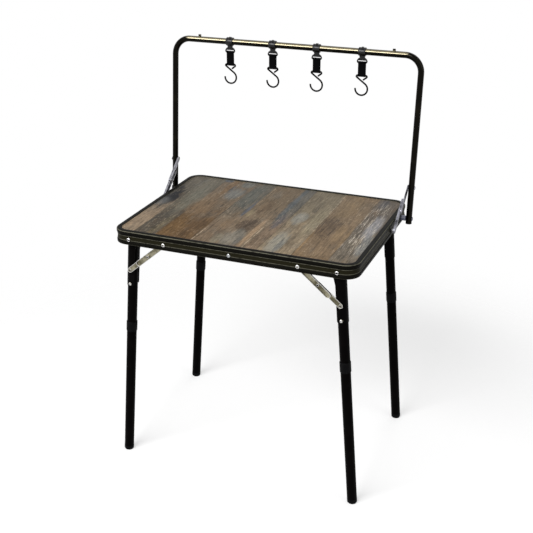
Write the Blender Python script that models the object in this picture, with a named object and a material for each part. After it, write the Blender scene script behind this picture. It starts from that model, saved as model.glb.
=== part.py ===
"""Folding camp side table with a hanger rack, modelled in metres with +Z up.

The origin is on the floor under the middle of the table. +X is the user's right
and -Y is the front. A bent extrusion frames a thin board. Four legs fold inwards
under it, each held open by a two-link stay, and each stands on a pull-off lower
leg. A tube rack pivots outside the side rails, held up by the same kind of stay,
and carries four webbing hangers with wire hooks.
"""

import math

import bmesh
import bpy
from mathutils import Matrix, Vector

# Overall sizes
TABLE_WIDTH = 0.600
TABLE_DEPTH = 0.440
TABLE_HEIGHT = 0.624
CLEARANCE = 0.0003

# Bent rail and the board inside it
RAIL_HEIGHT = 0.034
RAIL_CORNER_RADIUS = 0.035
RAIL_TOP_WIDTH = 0.012
TOP_BEAD_HEIGHT = 0.0085
LOWER_BEAD_HEIGHT = 0.0085
BEAD_EDGE = 0.0018
TOP_EDGE_RADIUS = 0.0032
TOP_EDGE_STEPS = 4
RECESS_DEPTH = 0.0018
WEB_THICKNESS = 0.0027
RIB_DROPS = (0.0125, 0.0225)
RIB_HEIGHT = 0.0006
RIB_WIDTH = 0.0014
LEDGE_WIDTH = 0.010
LEDGE_THICKNESS = 0.0012
BOARD_THICKNESS = 0.005
BOARD_DROP = 0.0012
BOARD_EDGE = 0.0006
BRACE_WIDTH = 0.028
BRACE_DEPTH = 0.014
BRACE_WALL = 0.0014
BRACE_TAB_DROP = 0.028

# Rivets and screws
RIVET_DROP = 0.021
RIVET_HEAD_RADIUS = 0.0045
RIVET_HEAD_HEIGHT = 0.0018
PIVOT_PIN_RADIUS = 0.0030
STAY_PIN_RADIUS = 0.0025
SPACER_RADIUS = 0.0050
SCREW_HEAD_RADIUS = 0.0040
SCREW_RADIUS = 0.0020
SCREW_LENGTH = 0.0055

# Legs, measured down each leg from its pivot
LEG_PIVOT_INSET = 0.0446
LEG_SPLAY = math.radians(4.7)
LEG_FLARE = math.radians(0.8)
LEG_RADIUS = 0.0120
LEG_WALL = 0.0012
LEG_TOP = 0.0050
BRACKET_WALL = 0.0010
BRACKET_LENGTH = 0.1265
BRACKET_TOP_RADIUS = 0.0128
BRACKET_EAR_REACH = 0.0142
BRACKET_EAR_DROP = 0.0120
BRACKET_FLANGE_REACH = 0.0098
BRACKET_TAPER_DROP = 0.0360
BRACKET_FOOT_CUT = 0.0030
BRACKET_FACETS = 6
BRACKET_SCREW_DROP = 0.1205
UPPER_LEG_LENGTH = 0.2263
COLLAR_LENGTH = 0.0260
COLLAR_RADIUS = 0.0133
COUPLER_BORE = 0.0075
SPIGOT_LENGTH = 0.055
FIXED_SPIGOT_LENGTH = 0.030
FOOT_HEIGHT = 0.012
FOOT_RADIUS = 0.0122
FOOT_ROUNDING = 0.0035
FOOT_PLUG_LENGTH = 0.020

# Two-link stays, the same hardware on legs and rack
STAY_ANCHOR_REACH = 0.0905
STAY_PIN_REACH = 0.0826
CHANNEL_WIDTH = 0.0140
CHANNEL_DEPTH = 0.0045
CHANNEL_TAIL = 0.031
ARM_LINK_WIDTH = 0.0125
ARM_LINK_DEPTH = 0.0022
LINK_WEB = 0.0012
LINK_RIM = 0.0012
KNUCKLE_RADIUS = 0.0034
ARM_PIN_LENGTH = 0.0060

# Hanger rack
RACK_TUBE_RADIUS = 0.0075
RACK_TUBE_WALL = 0.0012
RACK_SIDE_GAP = 0.0125
RACK_PIVOT_SETBACK = 0.070
RACK_PIVOT_DROP = 0.019
RACK_REACH = 0.3918
RACK_TAIL = 0.011
RACK_LEAN = math.radians(5.5)
RACK_PIN_REACH = 0.0778
RACK_CHANNEL_TAIL = 0.027
RACK_BEND_RADIUS = 0.040
RACK_BOLT_RADIUS = 0.0027
RACK_BOLT_HEAD_RADIUS = 0.0052
RACK_BOLT_HEAD_HEIGHT = 0.0012
RACK_SPACER_RADIUS = 0.0065
RACK_NUT_HEIGHT = 0.0035
PLUG_FLANGE = 0.0018
PLUG_LENGTH = 0.006
PEG_X = 0.252
PEG_RADIUS = 0.0037
PEG_HEIGHT = 0.0050

# Hangers, with heights measured from the middle of the rack's bar
HANGER_COUNT = 4
HANGER_SPACING = 0.1146
HANGER_SHIFT = 0.0034
CLIP_WALL = 0.0020
CLIP_WIDTH = 0.0176
CLIP_MOUTH = math.radians(50)
CLIP_RIB_HEIGHT = 0.0040
CLIP_SIDE_RIB_HEIGHT = 0.0026
CLIP_RIB_WIDTH = 0.0048
CLIP_SIDE_RIB_WIDTH = 0.0036
CLIP_RIB_SPREAD = math.radians(100)
CLIP_PLATE = 0.0034
CLIP_NECK_WIDTH = 0.0128
CLIP_NECK_DROP = 0.0125
BUCKLE_WIDTH = 0.0262
BUCKLE_DROP = 0.0189
BUCKLE_BAR_DROP = 0.0257
BUCKLE_BAR_RADIUS = 0.0016
STRAP_WIDTH = 0.0195
STRAP_PLY = 0.0011
STRAP_THICKNESS = 0.0028
HOOK_BAR_DROP = 0.0567
HOOK_WIRE_RADIUS = 0.0018
HOOK_LOOP_HALF_WIDTH = 0.0137
HOOK_LOOP_SHOULDER = 0.0036
HOOK_CENTRE_DROP = 0.0894
HOOK_RADIUS = 0.0154
HOOK_TIP_ANGLE = math.radians(176)
HOOK_CORNER_RADIUS = 0.0018

# Fineness of the round shapes
CORNER_STEPS = 6
PIN_SIDES = 12
TUBE_SIDES = 16
RACK_SIDES = 14
BEND_STEPS = 6
LINK_END_STEPS = 6
MERGE_DISTANCE = 0.000005

# Places worked out from the sizes above
HALF_WIDTH = TABLE_WIDTH / 2
HALF_DEPTH = TABLE_DEPTH / 2
RAIL_INNER = RECESS_DEPTH + WEB_THICKNESS
RIVET_SEAT = RECESS_DEPTH - RIB_HEIGHT - CLEARANCE
LEDGE_TOP = BOARD_DROP + BOARD_THICKNESS + CLEARANCE
LEDGE_BOTTOM = LEDGE_TOP + LEDGE_THICKNESS
PIVOT_Z = TABLE_HEIGHT - RIVET_DROP
BRACKET_HALF = LEG_RADIUS + CLEARANCE + BRACKET_WALL
CHANNEL_FACE = RAIL_INNER + CLEARANCE
ARM_LINK_FACE = CHANNEL_FACE + CHANNEL_DEPTH + CLEARANCE
BRACKET_FACE = ARM_LINK_FACE + ARM_LINK_DEPTH + CLEARANCE
FLARE_ROOM = BRACKET_LENGTH * math.sin(LEG_FLARE)
LEG_PIVOT_X = HALF_WIDTH - LEG_PIVOT_INSET
LEG_Y = HALF_DEPTH - BRACKET_FACE - BRACKET_HALF - FLARE_ROOM
SPIGOT_RADIUS = LEG_RADIUS - LEG_WALL - CLEARANCE
LEG_LENGTH = PIVOT_Z / (math.cos(LEG_SPLAY) * math.cos(LEG_FLARE))
RACK_X = HALF_WIDTH + RACK_SIDE_GAP + RACK_TUBE_RADIUS
RACK_PIVOT_Y = HALF_DEPTH - RACK_PIVOT_SETBACK
RACK_PIVOT_Z = TABLE_HEIGHT - RACK_PIVOT_DROP
BAR_Y = RACK_PIVOT_Y + RACK_REACH * math.sin(RACK_LEAN)
BAR_Z = RACK_PIVOT_Z + RACK_REACH * math.cos(RACK_LEAN)

ALONG_Y = Matrix.Rotation(math.radians(-90), 4, "X")
ALONG_X = Matrix.Rotation(math.radians(90), 4, "Y")
UPRIGHT = Matrix.Rotation(math.radians(90), 4, "X")
SIDEWAYS = Matrix(((0, 0, 1, 0), (1, 0, 0, 0), (0, 1, 0, 0), (0, 0, 0, 1)))


def clear_scene():
    for item in list(bpy.data.objects):
        bpy.data.objects.remove(item, do_unlink=True)


def finish(name, colour, roughness, metallic):
    material = bpy.data.materials.new(name)
    material.use_nodes = True
    shader = material.node_tree.nodes["Principled BSDF"]
    shader.inputs["Base Color"].default_value = (*colour, 1.0)
    shader.inputs["Roughness"].default_value = roughness
    shader.inputs["Metallic"].default_value = metallic
    return material


def world_matrix(item):
    if item.parent is None:
        return item.matrix_basis.copy()
    return world_matrix(item.parent) @ item.matrix_basis


def place(item, world=Matrix(), parent=None):
    """Put an object at a world matrix, as a child of the parent where one is given."""
    item.matrix_basis = world
    if parent is not None:
        item.matrix_basis = world_matrix(parent).inverted() @ world
        item.parent = parent
    return item


def pivot(name, world, parent=None):
    """An empty that marks a joint axis and carries the pieces that turn with it."""
    empty = bpy.data.objects.new(name, None)
    empty.empty_display_size = 0.03
    bpy.context.collection.objects.link(empty)
    return place(empty, world, parent)


def add_piece(name, bm, material, world=Matrix(), parent=None):
    bmesh.ops.recalc_face_normals(bm, faces=bm.faces)
    mesh = bpy.data.meshes.new(name)
    bm.to_mesh(mesh)
    bm.free()
    mesh.materials.append(material)
    mesh.shade_smooth()
    mesh.set_sharp_from_angle(angle=math.radians(35))
    piece = bpy.data.objects.new(name, mesh)
    bpy.context.collection.objects.link(piece)
    return place(piece, world, parent)


def shifted(x=0.0, y=0.0, z=0.0):
    return Matrix.Translation((x, y, z))


def moved(bm, matrix):
    bmesh.ops.transform(bm, matrix=matrix, verts=bm.verts)
    return bm


def arc(centre, radius, start, end, steps):
    """Points on an arc in a plane, both ends included."""
    turns = [start + (end - start) * step / steps for step in range(steps + 1)]
    return [(centre[0] + radius * math.cos(t), centre[1] + radius * math.sin(t)) for t in turns]


def rounded_rectangle(half_x, half_y, radius, steps):
    quarter = math.pi / 2
    corners = ((1, 1), (-1, 1), (-1, -1), (1, -1))
    points = []
    for index, (side_x, side_y) in enumerate(corners):
        centre = (side_x * (half_x - radius), side_y * (half_y - radius))
        points += arc(centre, radius, index * quarter, (index + 1) * quarter, steps)
    return points


def stadium(start, end, radius, steps):
    """A bar's outline with round ends, centred on the X axis from start to end."""
    right = arc((end, 0.0), radius, -math.pi / 2, math.pi / 2, steps)
    left = arc((start, 0.0), radius, math.pi / 2, math.pi * 1.5, steps)
    return right + left


def prism(outline, bottom, top):
    """Extrude an outline in the XY plane from one height to another."""
    bm = bmesh.new()
    lower = [bm.verts.new((x, y, bottom)) for x, y in outline]
    base = bm.faces.new(lower)
    raised = bmesh.ops.extrude_face_region(bm, geom=[base], use_keep_orig=True)
    verts = [item for item in raised["geom"] if isinstance(item, bmesh.types.BMVert)]
    bmesh.ops.translate(bm, verts=verts, vec=(0.0, 0.0, top - bottom))
    return bm


def block(low, high):
    outline = ((low[0], low[1]), (high[0], low[1]), (high[0], high[1]), (low[0], high[1]))
    return prism(outline, low[2], high[2])


def turned(profile, sides=PIN_SIDES, ring=False, sweep=math.tau):
    """Spin (radius, height) points about Z. A ring profile is closed on itself."""
    bm = bmesh.new()
    verts = [bm.verts.new((radius, 0.0, height)) for radius, height in profile]
    pairs = list(zip(verts, verts[1:]))
    if ring:
        pairs.append((verts[-1], verts[0]))
    edges = [bm.edges.new(pair) for pair in pairs]
    bmesh.ops.spin(bm, geom=verts + edges, cent=(0, 0, 0), axis=(0, 0, 1), angle=sweep, steps=sides)
    bmesh.ops.remove_doubles(bm, verts=bm.verts, dist=MERGE_DISTANCE)
    if sweep < math.tau:
        bmesh.ops.holes_fill(bm, edges=[edge for edge in bm.edges if edge.is_boundary])
    return bm


def rod(radius, bottom, top, sides=PIN_SIDES):
    return turned([(0.0, bottom), (radius, bottom), (radius, top), (0.0, top)], sides)


def pipe(radius, wall, bottom, top, sides=TUBE_SIDES):
    inner = radius - wall
    return turned([(inner, bottom), (radius, bottom), (radius, top), (inner, top)], sides, ring=True)


def domed(radius, bottom, height):
    """Profile points of a rivet head that rises from bottom and ends on the axis."""
    return [(radius, bottom), (radius * 0.92, bottom + height * 0.55), (radius * 0.62, bottom + height),
            (0.0, bottom + height)]


def combined(base, joined=(), cut=(), common=None):
    """Return what the base has in common with a closed mesh, with others joined and more cut out."""
    tasks = [(common, "INTERSECT")] if common else []
    tasks += [(mesh, "UNION") for mesh in joined] + [(mesh, "DIFFERENCE") for mesh in cut]
    scratch = [add_piece("base", base, None)]
    for tool, operation in tasks:
        helper = add_piece("tool", tool, None)
        scratch.append(helper)
        modifier = scratch[0].modifiers.new(operation, "BOOLEAN")
        modifier.operation = operation
        modifier.solver = "EXACT"
        modifier.object = helper
    result = bmesh.new()
    result.from_object(scratch[0], bpy.context.evaluated_depsgraph_get())
    for item in scratch:
        bpy.data.objects.remove(item, do_unlink=True)
    return result


def rail_profile():
    """The extrusion's section as (distance in from the outer face, drop from the top)."""
    inner_top = RAIL_TOP_WIDTH
    ledge_tip = RAIL_TOP_WIDTH + LEDGE_WIDTH
    softened = BEAD_EDGE * 0.3
    points = [(inner_top, BOARD_EDGE), (inner_top - BOARD_EDGE, 0.0)]
    points += arc((TOP_EDGE_RADIUS, TOP_EDGE_RADIUS), TOP_EDGE_RADIUS, math.pi * 1.5, math.pi, TOP_EDGE_STEPS)
    points += [(0.0, TOP_BEAD_HEIGHT - BEAD_EDGE), (RECESS_DEPTH, TOP_BEAD_HEIGHT)]
    for drop in RIB_DROPS:
        points += [(RECESS_DEPTH, drop - RIB_WIDTH / 2), (RECESS_DEPTH - RIB_HEIGHT, drop)]
        points += [(RECESS_DEPTH, drop + RIB_WIDTH / 2)]
    bead_top = RAIL_HEIGHT - LOWER_BEAD_HEIGHT
    points += [(RECESS_DEPTH, bead_top), (0.0, bead_top + BEAD_EDGE)]
    points += [(0.0, RAIL_HEIGHT - BEAD_EDGE), (softened, RAIL_HEIGHT - softened), (BEAD_EDGE, RAIL_HEIGHT)]
    points += [(RAIL_INNER, RAIL_HEIGHT), (RAIL_INNER, LEDGE_BOTTOM)]
    points += [(ledge_tip, LEDGE_BOTTOM), (ledge_tip, LEDGE_TOP), (inner_top, LEDGE_TOP)]
    return points


def bent_rail():
    """Carry the section round the table: spin it at each corner, then run it straight."""
    bm = bmesh.new()
    radius = RAIL_CORNER_RADIUS
    centre_x = HALF_WIDTH - radius
    centre_y = HALF_DEPTH - radius
    profile = rail_profile()
    verts = [bm.verts.new((HALF_WIDTH - inset, centre_y, TABLE_HEIGHT - drop)) for inset, drop in profile]
    edges = [bm.edges.new(pair) for pair in zip(verts, verts[1:] + verts[:1])]
    geometry = verts + edges
    runs = ((1, 1, (-2 * centre_x, 0)), (-1, 1, (0, -2 * centre_y)))
    runs += ((-1, -1, (2 * centre_x, 0)), (1, -1, (0, 2 * centre_y)))
    for side_x, side_y, run in runs:
        centre = (side_x * centre_x, side_y * centre_y, 0.0)
        spun = bmesh.ops.spin(bm, geom=geometry, cent=centre, axis=(0, 0, 1), angle=math.pi / 2,
                              steps=CORNER_STEPS)
        last = [item for item in spun["geom_last"] if isinstance(item, bmesh.types.BMEdge)]
        extruded = bmesh.ops.extrude_edge_only(bm, edges=last)["geom"]
        ends = [item for item in extruded if isinstance(item, bmesh.types.BMVert)]
        bmesh.ops.translate(bm, verts=ends, vec=(run[0], run[1], 0.0))
        geometry = ends + [item for item in extruded if isinstance(item, bmesh.types.BMEdge)
                           and all(vert in ends for vert in item.verts)]
    bmesh.ops.remove_doubles(bm, verts=bm.verts, dist=MERGE_DISTANCE)
    return bm


def rail_hole(radius, x, y, z, direction):
    """A drill through the rail's wall at a place on its outer face."""
    reach = RAIL_INNER * 2
    drill = rod(radius + CLEARANCE, -reach, reach)
    return moved(drill, shifted(x, y, z) @ direction)


def make_rail(finishes):
    holes = []
    for side_y in (-1, 1):
        y = side_y * HALF_DEPTH
        holes.append(rail_hole(STAY_PIN_RADIUS, 0.0, y, PIVOT_Z, ALONG_Y))
        for side_x in (-1, 1):
            anchor = side_x * (LEG_PIVOT_X - STAY_ANCHOR_REACH)
            holes.append(rail_hole(PIVOT_PIN_RADIUS, side_x * LEG_PIVOT_X, y, PIVOT_Z, ALONG_Y))
            holes.append(rail_hole(STAY_PIN_RADIUS, anchor, y, PIVOT_Z, ALONG_Y))
    for side_x in (-1, 1):
        x = side_x * HALF_WIDTH
        anchor = RACK_PIVOT_Y - STAY_ANCHOR_REACH
        holes.append(rail_hole(RACK_BOLT_RADIUS, x, RACK_PIVOT_Y, RACK_PIVOT_Z, ALONG_X))
        holes.append(rail_hole(STAY_PIN_RADIUS, x, anchor, RACK_PIVOT_Z, ALONG_X))
    add_piece("rail_frame", combined(bent_rail(), cut=holes), finishes["rail"])


def make_board(finishes):
    inset = RAIL_TOP_WIDTH + CLEARANCE
    outline = rounded_rectangle(HALF_WIDTH - inset, HALF_DEPTH - inset, RAIL_CORNER_RADIUS - inset,
                                CORNER_STEPS)
    top = TABLE_HEIGHT - BOARD_DROP
    board = add_piece("top_board", prism(outline, top - BOARD_THICKNESS, top), finishes["board"])
    bevel = board.modifiers.new("Softened edges", "BEVEL")
    bevel.width = BOARD_EDGE
    bevel.segments = 1
    bevel.limit_method = "ANGLE"
    bevel.angle_limit = math.radians(60)


def make_brace(finishes):
    """The channel under the board, riveted to the front and back rails at its ends."""
    end = HALF_DEPTH - RAIL_INNER - CLEARANCE
    ledge = HALF_DEPTH - RAIL_TOP_WIDTH - LEDGE_WIDTH - CLEARANCE
    crown = -LEDGE_TOP
    low = -LEDGE_BOTTOM - CLEARANCE
    side = [(end, -BRACE_TAB_DROP), (end, low), (ledge, low), (ledge - BRACE_WALL, crown)]
    outline = side + [(-y, z) for y, z in reversed(side)]
    outline += [(-end + BRACE_WALL, -BRACE_TAB_DROP), (-end + BRACE_WALL, -BRACE_DEPTH)]
    outline += [(end - BRACE_WALL, -BRACE_DEPTH), (end - BRACE_WALL, -BRACE_TAB_DROP)]
    half = BRACE_WIDTH / 2
    bar = moved(prism(outline, -half, half), SIDEWAYS)
    hollow = block((-half + BRACE_WALL, -end + BRACE_WALL, -BRACE_DEPTH * 2),
                   (half - BRACE_WALL, end - BRACE_WALL, low - BRACE_WALL))
    rivets = []
    seat = HALF_DEPTH - RIVET_SEAT
    for turn in (0.0, math.pi):
        root = end - BRACE_WALL / 2
        profile = [(0.0, root), (STAY_PIN_RADIUS, root), (STAY_PIN_RADIUS, seat)]
        profile += domed(RIVET_HEAD_RADIUS, seat, RIVET_HEAD_HEIGHT)
        spot = Matrix.Rotation(turn, 4, "Z") @ shifted(z=-RIVET_DROP) @ ALONG_Y
        rivets.append(moved(turned(profile), spot))
    bar = combined(combined(bar, cut=[hollow]), joined=rivets)
    add_piece("centre_brace", bar, finishes["brace"], shifted(z=TABLE_HEIGHT))


def leg_tilt(side_x, side_y):
    """A leg's turn from upright: splayed to the side and flared a little to the front or back."""
    return Matrix.Rotation(side_y * LEG_FLARE, 4, "X") @ Matrix.Rotation(-side_x * LEG_SPLAY, 4, "Y")


def leg_drills(side_x, side_y):
    """Holes through a leg's bracket and tube: pins run level, the screw square to the leg."""
    past = BRACKET_HALF * 2
    outward = ALONG_Y if side_y > 0 else ALONG_Y.inverted()
    level = leg_tilt(side_x, side_y).inverted() @ outward
    drills = [moved(rod(PIVOT_PIN_RADIUS + CLEARANCE, -past, past), level)]
    drills.append(moved(rod(STAY_PIN_RADIUS + CLEARANCE, 0.0, past), shifted(z=-STAY_PIN_REACH) @ level))
    drills.append(moved(rod(SCREW_RADIUS + CLEARANCE, 0.0, past), shifted(z=-BRACKET_SCREW_DROP) @ outward))
    return drills


def leg_bracket(side_x, side_y):
    """A plate wrapped round the leg's outer side, with two flanges that widen at the pivot."""
    outer = BRACKET_HALF
    inner = outer - BRACKET_WALL
    half_step = math.pi / BRACKET_FACETS / 2
    turn = math.pi / 2 - half_step
    beyond = BRACKET_EAR_REACH * 2
    plan = arc((0.0, 0.0), outer / math.cos(half_step), -turn, turn, BRACKET_FACETS - 1)
    plan += [(-beyond, outer), (-beyond, inner)]
    plan += arc((0.0, 0.0), inner / math.cos(half_step), turn, -turn, BRACKET_FACETS - 1)
    plan += [(-beyond, -inner), (-beyond, -outer)]
    shell = prism([(side_x * x, y) for x, y in plan[::side_x]], -BRACKET_LENGTH * 2, outer)

    shoulder = -math.sqrt(outer ** 2 - BRACKET_TOP_RADIUS ** 2)
    margin = outer + BRACKET_WALL
    outline = arc((0.0, 0.0), BRACKET_TOP_RADIUS, 0.0, math.pi, LINK_END_STEPS * 2)
    outline += [(-BRACKET_EAR_REACH, -BRACKET_EAR_DROP), (-BRACKET_FLANGE_REACH, -BRACKET_TAPER_DROP)]
    outline += [(-BRACKET_FLANGE_REACH, -BRACKET_LENGTH + BRACKET_FOOT_CUT)]
    outline += [(-BRACKET_FLANGE_REACH + BRACKET_FOOT_CUT, -BRACKET_LENGTH)]
    outline += [(margin, -BRACKET_LENGTH), (margin, shoulder)]
    blank = moved(prism([(side_x * x, z) for x, z in outline[::side_x]], -margin, margin), UPRIGHT)
    return combined(shell, common=blank, cut=leg_drills(side_x, side_y))


def leg_coupler():
    """Collar with a spigot up into the upper leg and one fixed in the lower leg."""
    top = -UPPER_LEG_LENGTH
    bottom = top - COLLAR_LENGTH
    chamfer = COLLAR_RADIUS - LEG_RADIUS
    profile = [(COUPLER_BORE, top + SPIGOT_LENGTH), (SPIGOT_RADIUS - chamfer, top + SPIGOT_LENGTH)]
    profile += [(SPIGOT_RADIUS, top + SPIGOT_LENGTH - chamfer), (SPIGOT_RADIUS, top), (LEG_RADIUS, top)]
    profile += [(COLLAR_RADIUS, top - chamfer), (COLLAR_RADIUS, bottom + chamfer), (LEG_RADIUS, bottom)]
    profile += [(SPIGOT_RADIUS, bottom), (SPIGOT_RADIUS, bottom - FIXED_SPIGOT_LENGTH)]
    profile += [(COUPLER_BORE, bottom - FIXED_SPIGOT_LENGTH)]
    return turned(profile, TUBE_SIDES, ring=True)


def foot_cap(side_x, side_y):
    """A plug in the leg's end, cut level so that the splayed leg stands flat."""
    top = -LEG_LENGTH + FOOT_HEIGHT
    spare = LEG_LENGTH + FOOT_RADIUS * math.tan(LEG_SPLAY) * 2
    profile = [(0.0, -spare), (FOOT_RADIUS - FOOT_ROUNDING, -spare)]
    profile += [(FOOT_RADIUS - FOOT_ROUNDING, -LEG_LENGTH)]
    profile += [(FOOT_RADIUS - FOOT_ROUNDING * 0.3, -LEG_LENGTH + FOOT_ROUNDING * 0.3)]
    profile += [(FOOT_RADIUS, -LEG_LENGTH + FOOT_ROUNDING), (FOOT_RADIUS, top), (SPIGOT_RADIUS, top)]
    profile += [(SPIGOT_RADIUS, top + FOOT_PLUG_LENGTH), (0.0, top + FOOT_PLUG_LENGTH)]
    plug = turned(profile, TUBE_SIDES)
    level = leg_tilt(side_x, side_y).inverted()
    floor_normal = level @ Vector((0.0, 0.0, -1.0))
    floor_point = level @ Vector((0.0, 0.0, -PIVOT_Z))
    geometry = plug.verts[:] + plug.edges[:] + plug.faces[:]
    bmesh.ops.bisect_plane(plug, geom=geometry, plane_co=floor_point, plane_no=floor_normal,
                           clear_outer=True)
    bmesh.ops.holes_fill(plug, edges=[edge for edge in plug.edges if edge.is_boundary])
    return plug


def make_leg(side_x, side_y, name, finishes):
    rest = shifted(side_x * LEG_PIVOT_X, side_y * LEG_Y, PIVOT_Z) @ leg_tilt(side_x, side_y)
    leg = pivot("leg_" + name, rest)
    add_piece("leg_bracket_" + name, leg_bracket(side_x, side_y), finishes["bracket"], rest, leg)
    tube = pipe(LEG_RADIUS, LEG_WALL, -UPPER_LEG_LENGTH + CLEARANCE, LEG_TOP)
    add_piece("upper_leg_tube_" + name, combined(tube, cut=leg_drills(side_x, side_y)), finishes["tube"],
              rest, leg)

    outward = ALONG_Y if side_y > 0 else ALONG_Y.inverted()
    seat = BRACKET_HALF + CLEARANCE
    screw = [(0.0, seat - SCREW_LENGTH), (SCREW_RADIUS, seat - SCREW_LENGTH), (SCREW_RADIUS, seat)]
    screw += domed(SCREW_HEAD_RADIUS, seat, RIVET_HEAD_HEIGHT)
    spot = rest @ shifted(z=-BRACKET_SCREW_DROP) @ outward
    add_piece("leg_screw_" + name, turned(screw), finishes["zinc"], spot, leg)

    lower = pivot("lower_leg_" + name, rest, leg)
    add_piece("leg_coupler_" + name, leg_coupler(), finishes["plastic"], rest, lower)
    collar_bottom = -UPPER_LEG_LENGTH - COLLAR_LENGTH
    tube = pipe(LEG_RADIUS, LEG_WALL, -LEG_LENGTH + FOOT_HEIGHT + CLEARANCE, collar_bottom - CLEARANCE)
    add_piece("lower_leg_tube_" + name, tube, finishes["tube"], rest, lower)
    add_piece("foot_cap_" + name, foot_cap(side_x, side_y), finishes["plastic"], rest, lower)
    return leg


def make_leg_pivot(side_x, side_y, name, finishes):
    """The rivet a leg turns on, from the rail's outer face through to the inner cheek."""
    outer = HALF_DEPTH - RIVET_SEAT
    spacer_end = HALF_DEPTH - RAIL_INNER - CLEARANCE
    spacer_start = LEG_Y + BRACKET_HALF + CLEARANCE
    inner = LEG_Y - BRACKET_HALF - CLEARANCE
    profile = [(0.0, inner - RIVET_HEAD_HEIGHT), (RIVET_HEAD_RADIUS, inner - RIVET_HEAD_HEIGHT)]
    profile += [(RIVET_HEAD_RADIUS, inner), (PIVOT_PIN_RADIUS, inner), (PIVOT_PIN_RADIUS, spacer_start)]
    profile += [(SPACER_RADIUS, spacer_start), (SPACER_RADIUS, spacer_end), (PIVOT_PIN_RADIUS, spacer_end)]
    profile += [(PIVOT_PIN_RADIUS, outer)] + domed(RIVET_HEAD_RADIUS, outer, RIVET_HEAD_HEIGHT)
    turn = ALONG_Y if side_y > 0 else ALONG_Y.inverted()
    spot = shifted(side_x * LEG_PIVOT_X, 0.0, PIVOT_Z) @ turn
    add_piece("leg_pivot_rivet_" + name, turned(profile), finishes["zinc"], spot)


def stay_lengths(lean, reach):
    """Both links' lengths: straight when open, and folded flat when the arm is."""
    anchor = STAY_ANCHOR_REACH
    total = math.sqrt(reach ** 2 + anchor ** 2 + 2 * reach * anchor * math.sin(lean))
    channel = (total - (anchor - reach)) / 2
    return channel, total - channel


def stay_link(length, width, depth, tail, pins):
    """A stamped tray from its pin at the origin to its knuckle, with round pins joined.

    The back is at z=0 and the rim faces +Z. Each pin is (x, (radius, height) points).
    """
    radius = width / 2
    tray = prism(stadium(0.0, length + tail, radius, LINK_END_STEPS), 0.0, depth)
    pocket = prism(stadium(0.0, length + tail, radius - LINK_RIM, LINK_END_STEPS), LINK_WEB, depth * 2)
    solid = combined(tray, cut=[pocket])
    return combined(solid, joined=[moved(turned(points), shifted(x)) for x, points in pins])


def knuckle(depth):
    return [(0.0, LINK_WEB / 2), (KNUCKLE_RADIUS, LINK_WEB / 2), (KNUCKLE_RADIUS, depth), (0.0, depth)]


def arm_pin(reach, head):
    """The arm link's pin: through the arm behind it, with a head on the far side if asked."""
    points = [(0.0, ARM_LINK_DEPTH), (KNUCKLE_RADIUS, ARM_LINK_DEPTH), (KNUCKLE_RADIUS, LINK_WEB / 2)]
    points += [(STAY_PIN_RADIUS, LINK_WEB / 2), (STAY_PIN_RADIUS, -reach)]
    if head:
        return points + [(radius, -reach - height) for radius, height in domed(RIVET_HEAD_RADIUS, 0.0, head)]
    return points + [(0.0, -reach)]


def channel_pin(spacer, shank, head):
    """The channel's pin: a shoulder up to the rail, a shank through it and a head."""
    top = CHANNEL_DEPTH + spacer
    points = [(0.0, LINK_WEB / 2), (RIVET_HEAD_RADIUS, LINK_WEB / 2), (RIVET_HEAD_RADIUS, top)]
    points += [(STAY_PIN_RADIUS, top), (STAY_PIN_RADIUS, top + shank)]
    return points + domed(RIVET_HEAD_RADIUS, top + shank, head)


def frame_towards(origin, target, normal):
    """A matrix at origin whose X points at target and whose Z is the normal."""
    along = (Vector(target) - Vector(origin)).normalized()
    outward = Vector(normal)
    across = outward.cross(along)
    turn = Matrix((along, across, outward)).transposed().to_4x4()
    return Matrix.Translation(origin) @ turn


def make_leg_stay(side_x, side_y, name, leg, finishes):
    channel, arm = stay_lengths(LEG_SPLAY, STAY_PIN_REACH)
    arm_y = side_y * (HALF_DEPTH - BRACKET_FACE + CLEARANCE)
    channel_y = side_y * (HALF_DEPTH - CHANNEL_FACE - CHANNEL_DEPTH)
    arm_pin_place = leg_tilt(side_x, side_y) @ Vector((0.0, 0.0, -STAY_PIN_REACH))
    pin_x = side_x * LEG_PIVOT_X + arm_pin_place.x
    pin_z = PIVOT_Z + arm_pin_place.z
    anchor_x = side_x * (LEG_PIVOT_X - STAY_ANCHOR_REACH)
    normal = (0.0, side_y, 0.0)

    shank = RAIL_INNER + CLEARANCE - RIVET_SEAT
    pins = [(0.0, channel_pin(0.0, shank, RIVET_HEAD_HEIGHT)), (channel, knuckle(CHANNEL_DEPTH))]
    link = stay_link(channel, CHANNEL_WIDTH, CHANNEL_DEPTH, CHANNEL_TAIL, pins)
    world = frame_towards((anchor_x, channel_y, PIVOT_Z), (pin_x, channel_y, pin_z), normal)
    add_piece("stay_channel_" + name, link, finishes["zinc"], world)

    pins = [(0.0, arm_pin(ARM_PIN_LENGTH, 0.0)), (arm, knuckle(ARM_LINK_DEPTH))]
    link = stay_link(arm, ARM_LINK_WIDTH, ARM_LINK_DEPTH, 0.0, pins)
    world = frame_towards((pin_x, arm_y, pin_z), (anchor_x, arm_y, PIVOT_Z), normal)
    add_piece("stay_link_" + name, link, finishes["zinc"], world, leg)


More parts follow.
